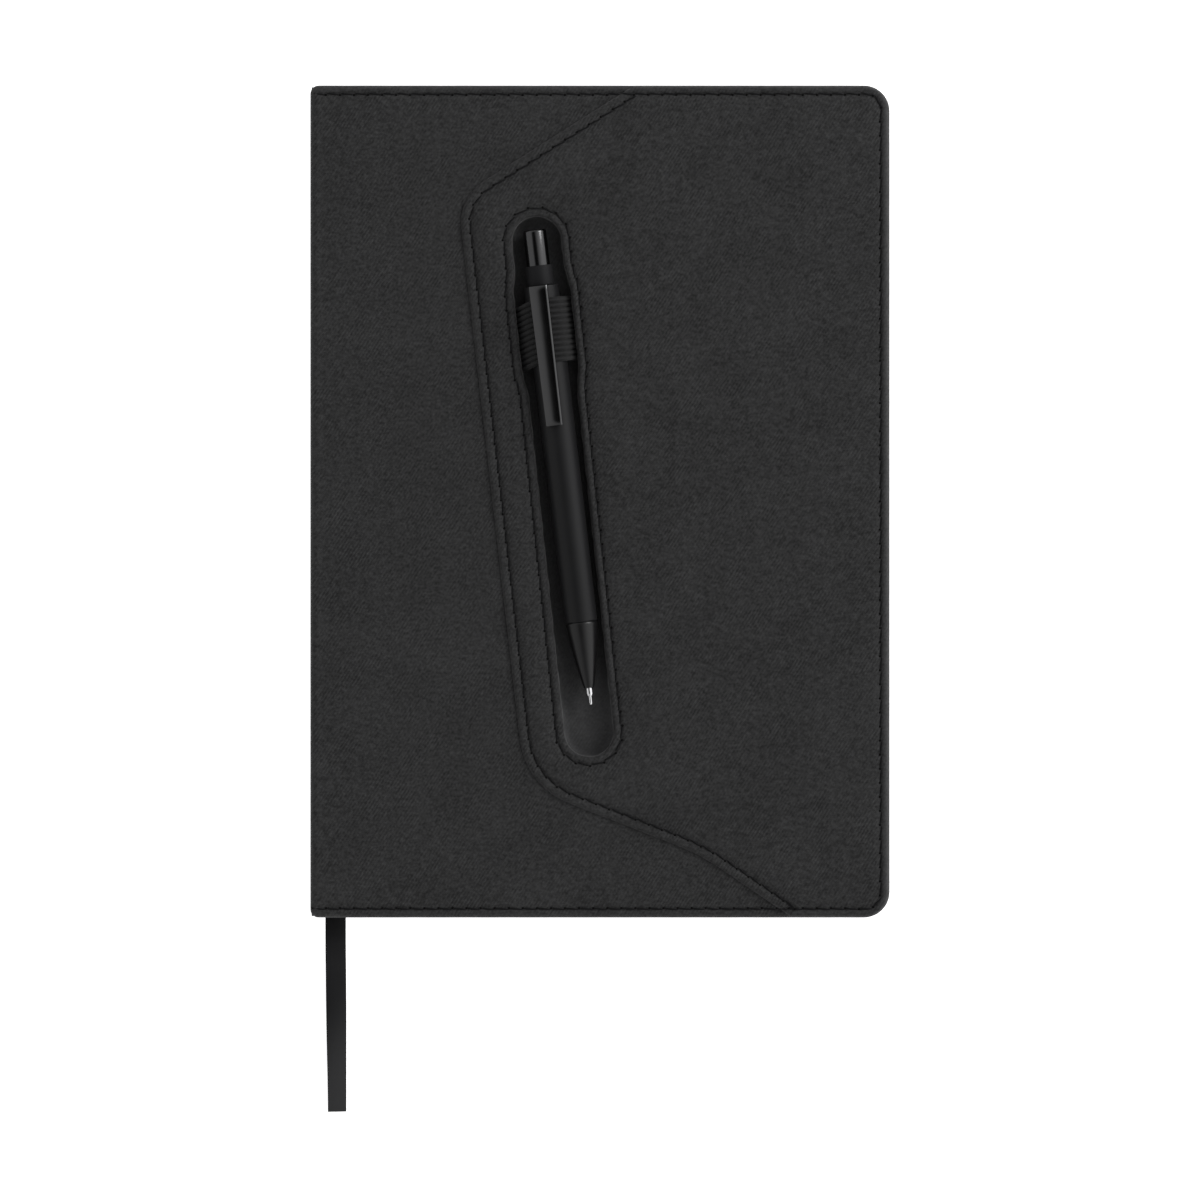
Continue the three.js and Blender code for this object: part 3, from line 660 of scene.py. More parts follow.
def woven_cloth(name, base, pitch, contrast=1.0):
    """Twill of mixed yarn: ribs that show in patches, flecks, thicker cross threads, worn edges, and painted
    light along the fore edge and the hinge.
    """
    recipe = Recipe(name)
    warp = recipe.ribs(pitch, (0, 0, math.radians(32)), 1.4)
    weft = recipe.ribs(pitch * 0.47, (0, 0, math.radians(-50)), 0.8)
    patch = recipe.span(recipe.noise(pitch * 7, 2.0), -0.6, 1.7)
    fleck = recipe.noise(pitch * 0.95, 3.0, 0.7)
    cloud = recipe.noise(pitch * 16, 2.0)
    stretched = recipe.node("ShaderNodeMapping", {"Vector": recipe.place, "Scale": (0.5, 1.0, 1.0)})
    slub = recipe.node(
        "ShaderNodeTexNoise", {"Vector": stretched.outputs[0], "Scale": 0.9 / pitch, "Detail": 2.0}
    ).outputs["Fac"]
    hatch = recipe.maths("MULTIPLY", recipe.maths("SUBTRACT", warp, 0.5), patch)
    yarn = recipe.weighted((hatch, 0.3), (weft, 0.12))
    mixed = recipe.weighted((yarn, 1.0), (fleck, 1.5), (slub, 0.7), (cloud, 0.3))
    share = recipe.node("ShaderNodeMapRange", {"Value": mixed, "From Min": 0.98, "From Max": 1.78}).outputs[0]
    tone = recipe.blend(share, shade(base, 1 - 0.55 * contrast), shade(base, 1 + 0.65 * contrast))
    # Lighter where the mesh asks for it: worn edges, and painted light along the fore edge and the hinge.
    frayed_and_painted_light = recipe.maths("MULTIPLY", recipe.wear_and_painted_light(), recipe.span(fleck, 0.1, 0.9))
    tone = recipe.blend(frayed_and_painted_light, tone, shade(base, 2.3))
    recipe.set(Base_Color=tone, Roughness=0.95, Sheen_Weight=0.08, Sheen_Roughness=0.5)
    recipe.set(Specular_IOR_Level=0.15)
    recipe.bump(recipe.weighted((yarn, 1.0), (fleck, 0.9)), 0.7 * contrast, 0.16 * MM)
    return recipe.material


def spun_thread(name, base):
    """Twisted sewing thread."""
    recipe = Recipe(name)
    ply = recipe.ribs(0.28 * MM, (0, 0, math.radians(30)), 0.5)
    tone = recipe.blend(ply, shade(base, 0.6), shade(base, 1.8))
    recipe.set(Base_Color=tone, Roughness=0.85, Specular_IOR_Level=0.1)
    recipe.bump(ply, 0.5, 0.05 * MM)
    return recipe.material


def knitted_elastic(name, base):
    """Covered rubber cords: fine yarn runs round each rib; the mesh's wear and painted light is 1 on crests
    and 0 in gaps, and the gaps get painted shade.
    """
    recipe = Recipe(name)
    turns = recipe.ribs(0.34 * MM, (0, 0, -PEN_TURN), 0.5)
    fleck = recipe.noise(0.5 * MM, 2.0)
    tone = recipe.blend(recipe.maths("MULTIPLY", turns, fleck), shade(base, 0.8), shade(base, 2.0))
    # Painted shade: the gaps between the ribs are painted near black.
    tone = recipe.blend(recipe.wear_and_painted_light(), shade(base, 0.06), tone)
    recipe.set(Base_Color=tone, Roughness=0.85, Sheen_Weight=0.08, Specular_IOR_Level=0.2)
    recipe.bump(turns, 0.4, 0.06 * MM)
    return recipe.material


def ribbon_silk(name, base):
    """Satin ribbon: very fine cross ribs, and selvedges that are darker where the mesh's wear and painted
    light is 1.
    """
    recipe = Recipe(name)
    ribs = recipe.ribs(0.3 * MM, (0, 0, math.pi / 2), 0.15)
    streak = recipe.noise(1.2 * MM, 2.0)
    tone = recipe.blend(recipe.span(streak, 0.1, 0.9), shade(base, 0.8), shade(base, 1.25))
    tone = recipe.blend(recipe.wear_and_painted_light(), tone, shade(base, 0.3))
    recipe.set(Base_Color=tone, Roughness=0.36, Specular_IOR_Level=0.2)
    recipe.bump(ribs, 0.35, 0.03 * MM)
    return recipe.material


def fibrous(name, base, roughness=0.85, blot=0.9 * MM, contrast=0.08, depth=0.03 * MM):
    """Paper, card or foam: a soft fibrous surface."""
    recipe = Recipe(name)
    fibre = recipe.noise(blot, 4.0, 0.6)
    cloud = recipe.noise(blot * 18, 2.0)
    mixed = recipe.weighted((fibre, 0.6), (cloud, 0.4))
    tone = recipe.blend(mixed, shade(base, 1 - contrast), shade(base, 1 + contrast))
    recipe.set(Base_Color=tone, Roughness=roughness, Specular_IOR_Level=0.25)
    recipe.bump(fibre, 0.25, depth)
    return recipe.material


def satin_paint(name, base, roughness, gloss=0.3):
    """Satin paint or plastic with a faint orange peel."""
    recipe = Recipe(name)
    peel = recipe.noise(0.5 * MM, 2.0)
    smear = recipe.noise(9 * MM, 3.0)
    recipe.set(
        Base_Color=recipe.blend(smear, shade(base, 0.9), shade(base, 1.12)),
        Roughness=recipe.span(smear, roughness - 0.05, roughness + 0.06),
        Specular_IOR_Level=gloss,
    )
    recipe.bump(peel, 0.08, 0.02 * MM)
    return recipe.material


def plated_metal(name, base, roughness):
    """Plated metal with fine lengthwise polishing lines and a few dull patches."""
    recipe = Recipe(name)
    line = recipe.ribs(0.09 * MM, (0, 0, -PEN_TURN), 1.5)
    smear = recipe.noise(4 * MM, 3.0)
    recipe.set(
        Base_Color=recipe.blend(smear, shade(base, 0.93), shade(base, 1.06)),
        Roughness=recipe.span(smear, roughness * 0.85, roughness * 1.2),
        Metallic=1.0,
    )
    recipe.bump(line, 0.03, 0.01 * MM)
    return recipe.material


MATERIALS = {}


def make_materials(scene):
    """Every finish, from the settings."""
    cover = scene.notebook_cover
    pen = scene.notebook_pen
    pages = scene.notebook_pages
    MATERIALS.update({
        "cover_cloth": woven_cloth("cover_cloth", tuple(cover.cloth), cover.weave),
        # The lining is the cover cloth made lighter: painted light for the deep slot.
        "lining_cloth": woven_cloth("lining_cloth", tuple(cover.lit_lining), cover.weave, 0.35),
        "thread": spun_thread("sewing_thread", tuple(scene.notebook_stitches.thread)),
        # Near-black dots between stitches: painted shade in the needle holes.
        "needle_hole_shade": spun_thread("needle_hole_shade", (0.0015, 0.0015, 0.0015)),
        "elastic": knitted_elastic("knitted_elastic", tuple(scene.notebook_elastic.elastic)),
        "ribbon": ribbon_silk("ribbon_silk", tuple(scene.notebook_ribbon.silk)),
        "paper": fibrous("page_paper", tuple(pages.paper), contrast=0.04),
        "endpaper": fibrous("endpaper", tuple(pages.endpaper), contrast=0.12),
        "board": fibrous("greyboard", (0.27, 0.22, 0.16), 0.9, 1.4 * MM, 0.2, 0.08 * MM),
        "foam": fibrous("foam_padding", (0.04, 0.04, 0.042), 0.9, 0.5 * MM, 0.3, 0.15 * MM),
        "gauze": woven_cloth("spine_gauze", (0.62, 0.58, 0.49), 0.9 * MM),
        "band": woven_cloth("end_band", (0.018, 0.018, 0.019), 0.7 * MM),
        "pen_black": satin_paint("pen_paint", tuple(pen.paint), 0.42, 0.15),
        "pen_nose": satin_paint("pen_nose_paint", shade(tuple(pen.paint), 0.5), 0.32, 0.3),
        "pen_collar": satin_paint("collar_plastic", tuple(pen.collar), 0.6, 0.12),
        "cam_plastic": satin_paint("click_ring_plastic", (0.7, 0.7, 0.71), 0.45),
        "gunmetal": plated_metal("gunmetal_plating", tuple(pen.gunmetal), 0.17),
        "pen_silver": plated_metal("bright_plating", tuple(pen.silver), 0.16),
        "spring_steel": plated_metal("spring_steel", (0.4, 0.4, 0.41), 0.3),
        "refill_brass": plated_metal("refill_brass", (0.52, 0.34, 0.12), 0.3),
    })


# ---- The covers ----

def roll(distance, radius, drop):
    """How far a rounded edge falls away: a quarter of an ellipse, radius wide and drop high."""
    reach = np.clip(1 - distance / radius, 0, 1)
    return drop * (1 - np.sqrt(1 - reach * reach))


def pulled(trail, points, depth, pitch):
    """How far a line of stitches pulls the cloth down: a groove, a wider valley, and puckers."""
    distance, station = trail.near(points)
    groove = depth * 0.75 * np.exp(-((distance / (0.45 * MM)) ** 2))
    valley = depth * 0.35 * np.exp(-((distance / (1.7 * MM)) ** 2))
    wave = 0.5 - 0.5 * np.cos(2 * np.pi * station / pitch)
    pucker = depth * 0.3 * wave * np.exp(-((distance / (1.1 * MM)) ** 2))
    return groove + valley + pucker


def ripple(points, size, seed):
    """A gentle unevenness between -1 and 1, the same on each run."""
    rng = np.random.default_rng(seed)
    total = np.zeros(len(points))
    for _ in range(10):
        way = np.exp(1j * rng.uniform(0, 2 * np.pi))
        phase = rng.uniform(0, 2 * np.pi)
        scale = rng.uniform(0.6, 1.7) * size
        total += np.sin(2 * np.pi * (points * way.conjugate()).real / scale + phase)
    return total / 5


# How far in from an edge the rows of points lie, closest where the cloth is stitched down.
ROWS = tuple(row * MM for row in (0.12, 0.3, 0.55, 0.85, 1.2, 1.5, 1.75, 2.0, 2.25, 2.5, 2.8, 3.2, 3.8, 4.8))


def front_cloth_top(points, outline, stitches, settings, pitch):
    """Heights of the lower cloth of the front cover."""
    edge, _ = outline.near(points)
    z = CLOTH_HIGH.z - roll(edge, settings.edge_roll, settings.edge_roll)
    z = z - pulled(stitches, points, settings.seam_depth, pitch)
    swell = settings.puff * 0.5 * (1 - np.exp(-np.clip(edge - EDGE_STITCH, 0, 1) / (5 * MM)))
    return z + swell + 0.03 * MM * ripple(points, 22 * MM, 3)


class NOTEBOOK_OT_front_cloth(bpy.types.Operator):
    """The padded cloth that wraps the front cover"""
    bl_idname = "notebook.front_cloth"
    bl_label = "Front cloth"

    def execute(self, context):
        settings = context.scene.notebook_cover
        pitch = context.scene.notebook_stitches.pitch
        step = settings.grain
        outer = cover_loop(0, step)
        hole = slot_loop(CLOTH_HOLE_CLEAR, step)
        rings = [outer] + [cover_loop(row, step) for row in ROWS] + [hole]
        stitches = Trail(edge_line())
        outline = Trail(closed_line(outer))
        verts, faces = tiled(rings, outer, [hole], 2.2 * MM)
        heights = front_cloth_top(verts, outline, stitches, settings, pitch)
        edge, _ = outline.near(verts)
        shell = Shell()
        # Painted light: a lighter line along the hinge; the edges are lighter as wear.
        hinge_light = 0.12 * np.exp(-(((verts.real - CLOTH_LOW.x - HINGE_LIGHT_AT) / HINGE_LIGHT_WIDTH) ** 2))
        shell.flat(verts, faces, heights, np.clip(1 - edge / (1.3 * MM), 0, 1) * 0.3 + hinge_light)
        top = front_cloth_top(outer, outline, stitches, settings, pitch)
        low = CLOTH_LOW.z
        shell.wall([
            (outer, top),
            (outer, (top + low) / 2),
            (outer, low + 1.1 * MM),
            (cover_loop(0.12 * MM, step), low + TURNED_CLOTH),
            (cover_loop(0.45 * MM, step), low + 0.12 * MM),
            (cover_loop(1.0 * MM, step), low),
            (cover_loop(TURN_IN, step), low),
            (cover_loop(TURN_IN + 0.1 * MM, step), low + TURNED_CLOTH),
        ], 0.15)
        hole_top = front_cloth_top(hole, outline, stitches, settings, pitch)
        shell.wall([(hole, hole_top), (hole, low + TURNED_CLOTH)])
        under = cover_loop(TURN_IN + 0.1 * MM, step)
        verts, faces = tiled([under, hole], under, [hole], 0)
        shell.flat(verts, faces, low + TURNED_CLOTH)
        made = shell.build("padded_front_cloth", MATERIALS["cover_cloth"])
        place(made, "front_cover", "cover_cloth", "front_cloth")
        return {"FINISHED"}


def panel_top(points, trails, settings, pitch):
    """Heights of the raised panel: turned edges, pulled stitching, and padding that swells between."""
    edge, _ = trails["outline"].near(points)
    slot, _ = trails["slot"].near(points)
    z = PANEL_HIGH.z - roll(edge, settings.panel_roll, PANEL_HIGH.z - PANEL_LOW.z - 0.1 * MM)
    z = z - roll(slot, settings.slot_roll, settings.slot_roll)
    for name in ("edge", "seam", "slotted"):
        z = z - pulled(trails[name], points, settings.seam_depth, pitch)
    near = np.minimum(edge, slot)
    swell = 1 - np.exp(-np.clip(near - 2.4 * MM, 0, 1) / (4.5 * MM))
    rim = np.exp(-(((near - 1.2 * MM) / (0.6 * MM)) ** 2))
    z = z + settings.puff * (swell + 0.15 * rim)
    return z + 0.03 * MM * ripple(points, 24 * MM, 5)


class NOTEBOOK_OT_front_panel(bpy.types.Operator):
    """The raised panel on the front cover, with the slot cut through it"""
    bl_idname = "notebook.front_panel"
    bl_label = "Front panel"

    def execute(self, context):
        settings = context.scene.notebook_cover
        pitch = context.scene.notebook_stitches.pitch
        step = settings.grain
        outer = panel_loop(0, step)
        hole = slot_loop(PANEL_HOLE_CLEAR, step)
        trails = {
            "outline": Trail(closed_line(outer)),
            "slot": Trail(closed_line(hole)),
            "edge": Trail(edge_line()),
            "seam": Trail(seam_line()),
            "slotted": Trail(slot_line()),
        }
        rings = [outer, hole]
        rings += [panel_loop(row, step) for row in ROWS]
        rings += [slot_loop(PANEL_HOLE_CLEAR + row, step) for row in ROWS]
        verts, faces = tiled(rings, outer, [hole], 2.0 * MM)
        heights = panel_top(verts, trails, settings, pitch)
        edge, _ = trails["outline"].near(verts)
        wear_and_painted_light = np.clip(1 - edge / (1.2 * MM), 0, 1) * 0.25
        # Painted light: the cloth is lightened along the fore edge, as if lit from the right.
        fore = np.clip(1 - (PANEL_HIGH.x - verts.real) / (2.3 * MM), 0, 1)
        wear_and_painted_light = np.maximum(wear_and_painted_light, fore ** 0.7)
        shell = Shell()
        shell.flat(verts, faces, heights, wear_and_painted_light)
        low = PANEL_LOW.z
        shell.wall([(outer, panel_top(outer, trails, settings, pitch)), (outer, low)], 0.4)
        shell.wall([(hole, panel_top(hole, trails, settings, pitch)), (hole, low)], 0.3)
        verts, faces = tiled([outer, hole], outer, [hole], 0)
        shell.flat(verts, faces, low)
        made = shell.build("padded_front_panel", MATERIALS["cover_cloth"])
        place(made, "front_cover", "cover_cloth", "front_panel")
        return {"FINISHED"}


class NOTEBOOK_OT_slot_lining(bpy.types.Operator):
    """The dark cloth cup that lines the pen's slot"""
    bl_idname = "notebook.slot_lining"
    bl_label = "Slot lining"

    def floor(self, points):
        """The floor rises towards the foot of the slot, under the pen's nose."""
        station = ((points - SLOT_FOOT) / SLOT_AXIS).real
        near = np.clip((station + SLOT_RADIUS) / (22 * MM), 0, 1)
        return LINING_LOW.z + 0.4 * MM + SLOT_FLOOR_RISE * (1 - eased(near))

    def folded(self, grow, fold, step):
        """The slot's outline, with the cloth drawn into shallow upright folds."""
        loop = slot_loop(grow, step)
        middle = slot_loop(-SLOT_RADIUS * 0.5, step)
        share = np.arange(len(loop)) / len(loop)
        wave = np.sin(2 * np.pi * 37 * share) * 0.6 + np.sin(2 * np.pi * 61 * share + 1) * 0.4
        out = (loop - middle) / np.abs(loop - middle)
        return loop - out * fold * (0.5 + 0.5 * wave)

    def execute(self, context):
        step = context.scene.notebook_cover.grain
        rim = PANEL_LOW.z - 0.15 * MM
        fillet = 1.7 * MM
        outer = slot_loop(0.4 * MM, step)
        loops = [(outer, LINING_LOW.z + 0.05 * MM), (outer, rim), (slot_loop(0, step), rim)]
        for share in (0.2, 0.4, 0.6, 0.8, 1.0):
            loop = self.folded(0, 0.25 * MM * math.sin(math.pi * share * 0.8), step)
            loops.append((loop, rim + (self.floor(loop) + fillet - rim) * share))
        for angle in (22, 45, 68, 90):
            a = math.radians(angle)
            loop = self.folded(-fillet * (1 - math.cos(a)), 0.14 * MM * math.cos(a), step)
            loops.append((loop, self.floor(loop) + fillet * (1 - math.sin(a))))
        shell = Shell()
        shell.wall(loops)
        last = loops[-1][0]
        verts, faces = tiled([last, slot_loop(-3 * MM, step)], last, [], 1.6 * MM)
        trail = Trail(closed_line(last))
        sag = 0.06 * MM * ripple(verts, 9 * MM, 8) * np.clip(trail.near(verts)[0] / MM, 0, 1)
        shell.flat(verts, faces, self.floor(verts) + sag)
        verts, faces = tiled([outer], outer, [], 0)
        shell.flat(verts, faces, loops[0][1])
        made = shell.build("slot_lining_cup", MATERIALS["lining_cloth"])
        place(made, "front_cover", "lining_cloth", "slot_lining")
        return {"FINISHED"}


class NOTEBOOK_OT_back_cover(bpy.types.Operator):
    """The cloth of the back cover and of the spine, and the folds that join them"""
    bl_idname = "notebook.back_cover"
    bl_label = "Back cover and spine"

    def back(self, settings, pitch):
        step = settings.grain
        outer = cover_loop(0, step)
        line = Trail(edge_line())
        outline = Trail(closed_line(outer))
        radius = 1.1 * MM
        low = BACK_LOW.z

        def under(points):
            edge, _ = outline.near(points)
            return low + roll(edge, radius, radius) + pulled(line, points, settings.seam_depth * 0.6, pitch)

        rings = [outer] + [cover_loop(row, step) for row in ROWS]
        verts, faces = tiled(rings, outer, [], 3.0 * MM)
        shell = Shell()
        edge, _ = outline.near(verts)
        shell.flat(verts, faces, under(verts), np.clip(1 - edge / (1.3 * MM), 0, 1) * 0.4)
        top = BACK_HIGH.z
        window = cover_loop(TURN_IN, step)
        shell.wall([
            (outer, under(outer)),
            (outer, top - 0.8 * MM),
            (cover_loop(0.1 * MM, step), top - 0.35 * MM),
            (cover_loop(0.35 * MM, step), top - 0.08 * MM),
            (cover_loop(0.8 * MM, step), top),
            (window, top),
            (window, top - 0.25 * MM),
        ], 0.2)
        verts, faces = tiled([window], window, [], 0)
        shell.flat(verts, faces, top - 0.25 * MM)
        made = shell.build("back_cover_cloth", MATERIALS["cover_cloth"])
        place(made, "back_cover", "cover_cloth", "back_cloth", "back_board")

    def band(self, name, x0, x1, z0, z1, bulge, columns=10):
        """An upright strip of cloth along the spine: rounded ends, and a face that swells by bulge."""
        y = CLOTH_HIGH.y - 0.25 * MM
        rows = np.linspace(-y, y, 90)
        section = []
        for i in range(columns + 1):
            share = i / columns
            section.append((x0 - bulge * math.sin(math.pi * share), z0 + (z1 - z0) * share))
        for i in range(columns + 1):
            share = 1 - i / columns
            section.append((x1, z0 + (z1 - z0) * share))
        verts = []
        for k, row in enumerate(rows):
            pinch = 0.25 * MM if k in (0, len(rows) - 1) else 0
            for x, z in section:
                verts.append((x + (pinch if x < (x0 + x1) / 2 else -pinch / 2), row, z))
        faces = ring_faces(len(rows), len(section), capped=True)
        mesh = new_mesh(name, verts, faces, np.zeros(len(verts)))
        return finish_mesh(name, mesh, MATERIALS["cover_cloth"])

    def execute(self, context):
        settings = context.scene.notebook_cover
        self.back(settings, context.scene.notebook_stitches.pitch)
        x0 = SPINE_LOW.x
        x1 = SPINE_HIGH.x - 0.02 * MM
        spine = self.band("spine_cloth_cover", x0, x1, SPINE_LOW.z, SPINE_HIGH.z, 0.12 * MM)
        place(spine, "spine", "cover_cloth", "spine_cloth", "spine_board")
        lower = self.band("hinge_fold_back", x0 + 0.15 * MM, x0 + 0.55 * MM,
                          BACK_HIGH.z - 0.1 * MM, SPINE_LOW.z + 0.1 * MM, 0.02 * MM, 6)
        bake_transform(lower)
        upper = self.band("hinge_fold_front", x0 + 0.15 * MM, x0 + 0.55 * MM,
                          SPINE_HIGH.z - 0.1 * MM, CLOTH_LOW.z + 0.25 * MM, 0.02 * MM, 8)
        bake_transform(upper)
        return {"FINISHED"}


# ---- Stitching and leaves, by Geometry Nodes ----

def socket_ids(tree):
    """The identifiers of a node group's inputs, by name."""
    return {
        item.name: item.identifier
        for item in tree.interface.items_tree
        if item.item_type == "SOCKET" and item.in_out == "INPUT"
    }


def node_group(name, inputs):
    """An empty Geometry Nodes group with a geometry input and output and the named inputs."""
    tree = bpy.data.node_groups.new(name, "GeometryNodeTree")
    tree.interface.new_socket("Geometry", in_out="INPUT", socket_type="NodeSocketGeometry")
    for label, kind in inputs:
        tree.interface.new_socket(label, in_out="INPUT", socket_type=kind)
    tree.interface.new_socket("Geometry", in_out="OUTPUT", socket_type="NodeSocketGeometry")
    return tree, tree.nodes.new("NodeGroupInput"), tree.nodes.new("NodeGroupOutput")


def stitch_tree():
    """A row of thread stitches along a curve, with a near-black dot between each two: painted shade in the
    needle hole.
    """
    tree, start, end = node_group("stitch_row", (
        ("Pitch", "NodeSocketFloat"),
        ("Stitch", "NodeSocketFloat"),
        ("Thickness", "NodeSocketFloat"),
        ("Slant", "NodeSocketFloat"),
        ("Hole", "NodeSocketFloat"),
        ("Material", "NodeSocketMaterial"),
        ("Hole material", "NodeSocketMaterial"),
    ))
    give = start.outputs

    def add(kind, inputs=(), **settings):
        return add_node(tree, kind, inputs, **settings)

    line = {"Curve": give["Geometry"], "Length": give["Pitch"]}
    points = add("GeometryNodeCurveToPoints", line, mode="LENGTH")
    bead = add("GeometryNodeMeshUVSphere", {"Segments": 8, "Rings": 10, "Radius": 0.5})
    size = add("ShaderNodeCombineXYZ", {"X": give["Thickness"], "Y": give["Thickness"], "Z": give["Stitch"]})
    shape = add("GeometryNodeTransform", {"Geometry": bead.outputs["Mesh"], "Scale": size.outputs[0]})
    spun = add("GeometryNodeSetMaterial", {"Geometry": shape.outputs[0], "Material": give["Material"]})
    half = add("ShaderNodeMath", {0: give["Hole"], 1: 2.0}, operation="DIVIDE")
    # A near-black dot between stitches: painted shade in the needle hole.
    shade_dot = add("GeometryNodeMeshIcoSphere", {"Subdivisions": 2, "Radius": half.outputs[0]})
    step = add("ShaderNodeMath", {0: give["Pitch"], 1: 2.0}, operation="DIVIDE")
    ahead = add("ShaderNodeCombineXYZ", {"Z": step.outputs[0]})
    moved = add("GeometryNodeTransform", {"Geometry": shade_dot.outputs["Mesh"], "Translation": ahead.outputs[0]})
    sunk = add("GeometryNodeSetMaterial", {"Geometry": moved.outputs[0], "Material": give["Hole material"]})
    both = add("GeometryNodeJoinGeometry")
    for part in (spun, sunk):
        tree.links.new(part.outputs[0], both.inputs[0])
    smooth = add("GeometryNodeSetShadeSmooth", {"Geometry": both.outputs[0]})
    rows = add("GeometryNodeInstanceOnPoints", {
        "Points": points.outputs["Points"],
        "Instance": smooth.outputs[0],
        "Rotation": points.outputs["Rotation"],
    })
    turn = add("ShaderNodeCombineXYZ", {"Y": give["Slant"]})
    slant = add("GeometryNodeRotateInstances", {"Instances": rows.outputs[0], "Rotation": turn.outputs[0]})
    real = add("GeometryNodeRealizeInstances", {0: slant.outputs[0]})
    tree.links.new(real.outputs[0], end.inputs[0])
    return tree


def leaf_tree():
    """A stack of leaves: Count, Pitch, Stray, Seed and Material."""
    tree, start, end = node_group("leaf_stack", (
        ("Count", "NodeSocketInt"),
        ("Pitch", "NodeSocketFloat"),
        ("Stray", "NodeSocketFloat"),
        ("Seed", "NodeSocketInt"),
        ("Material", "NodeSocketMaterial"),
    ))
    give = start.outputs

    def add(kind, inputs=(), **settings):
        return add_node(tree, kind, inputs, **settings)

    rise = add("ShaderNodeCombineXYZ", {"Z": give["Pitch"]})
    line = add("GeometryNodeMeshLine", {"Count": give["Count"], "Offset": rise.outputs[0]})
    rows = add("GeometryNodeInstanceOnPoints", {"Points": line.outputs[0], "Instance": give["Geometry"]})
    least = add("ShaderNodeMath", {0: give["Stray"], 1: -1.0}, operation="MULTIPLY").outputs[0]
    low = add("ShaderNodeCombineXYZ", {"X": least, "Y": least})
    high = add("ShaderNodeCombineXYZ", {"Y": give["Stray"]})
    limits = {0: low.outputs[0], 1: high.outputs[0], "Seed": give["Seed"]}
    stray = add("FunctionNodeRandomValue", limits, data_type="FLOAT_VECTOR")
    shift = add("GeometryNodeTranslateInstances", {
        "Instances": rows.outputs[0],
        "Translation": stray.outputs[0],
    })
    real = add("GeometryNodeRealizeInstances", {0: shift.outputs[0]})
    finish = add("GeometryNodeSetMaterial", {"Geometry": real.outputs[0], "Material": give["Material"]})
    tree.links.new(finish.outputs[0], end.inputs[0])
    return tree


def grown(source, tree, values, name):
    """The plain mesh that a node group makes from source, as a new object; source is removed."""
    modifier = source.modifiers.new(tree.name, "NODES")
    modifier.node_group = tree
    ids = socket_ids(tree)
    for label, value in values.items():
        modifier[ids[label]] = value
    bpy.context.view_layer.update()
    graph = bpy.context.evaluated_depsgraph_get()
    mesh = bpy.data.meshes.new_from_object(source.evaluated_get(graph), depsgraph=graph)
    source.modifiers.remove(modifier)
    bpy.data.objects.remove(source)
    mesh.name = name
    return linked(name, mesh)


def curve_object(name, line, heights):
    """A polyline curve through the points of a line at the given heights."""
    curve = bpy.data.curves.new(name, "CURVE")
    curve.dimensions = "3D"
    curve.twist_mode = "Z_UP"
    spline = curve.splines.new("POLY")
    spline.points.add(len(line) - 1)
    for point, place_at, z in zip(spline.points, line, np.broadcast_to(heights, len(line))):
        point.co = (place_at.real, place_at.imag, z, 1)
    return linked(name, curve)


class NOTEBOOK_OT_stitching(bpy.types.Operator):
    """The rows of stitches along the edges, the panel's seam and the slot"""
    bl_idname = "notebook.stitching"
    bl_label = "Stitching"

    def row(self, tree, scene, name, line, heights, body, node):
        stitches = scene.notebook_stitches
        source = curve_object(name + "_line", line, heights)
        made = grown(source, tree, {
            "Pitch": stitches.pitch,
            "Stitch": stitches.stitch,
            "Thickness": stitches.thickness,
            "Slant": stitches.slant,
            "Hole": stitches.hole,
            "Material": MATERIALS["thread"],
            "Hole material": MATERIALS["needle_hole_shade"],
        }, name)
        place(made, body, "thread", node)

    def execute(self, context):
        scene = context.scene
        cover = scene.notebook_cover
        tree = stitch_tree()
        sunk = cover.seam_depth * 0.8
        line = edge_line()
        panel = Trail(closed_line(panel_loop()))
        depth, _ = panel.near(line)
        on_panel = inside(line, panel_loop())
        signed = np.where(on_panel, depth, -depth)
        share = np.clip((signed + 0.3 * MM) / (1.2 * MM), 0, 1)
        low = CLOTH_HIGH.z - sunk
        high = PANEL_HIGH.z - sunk
        heights = low + (high - low) * eased(share)
        self.row(tree, scene, "edge_stitches", line, heights, "front_cover", "edge_thread")
        self.row(tree, scene, "panel_stitches", seam_line(), high, "front_cover", "panel_thread")
        self.row(tree, scene, "slot_stitches", slot_line(), high, "front_cover", "slot_thread")
        under = BACK_LOW.z + cover.seam_depth * 0.6
        self.row(tree, scene, "back_stitches", line, under, "back_cover", "back_edge_thread")
        return {"FINISHED"}


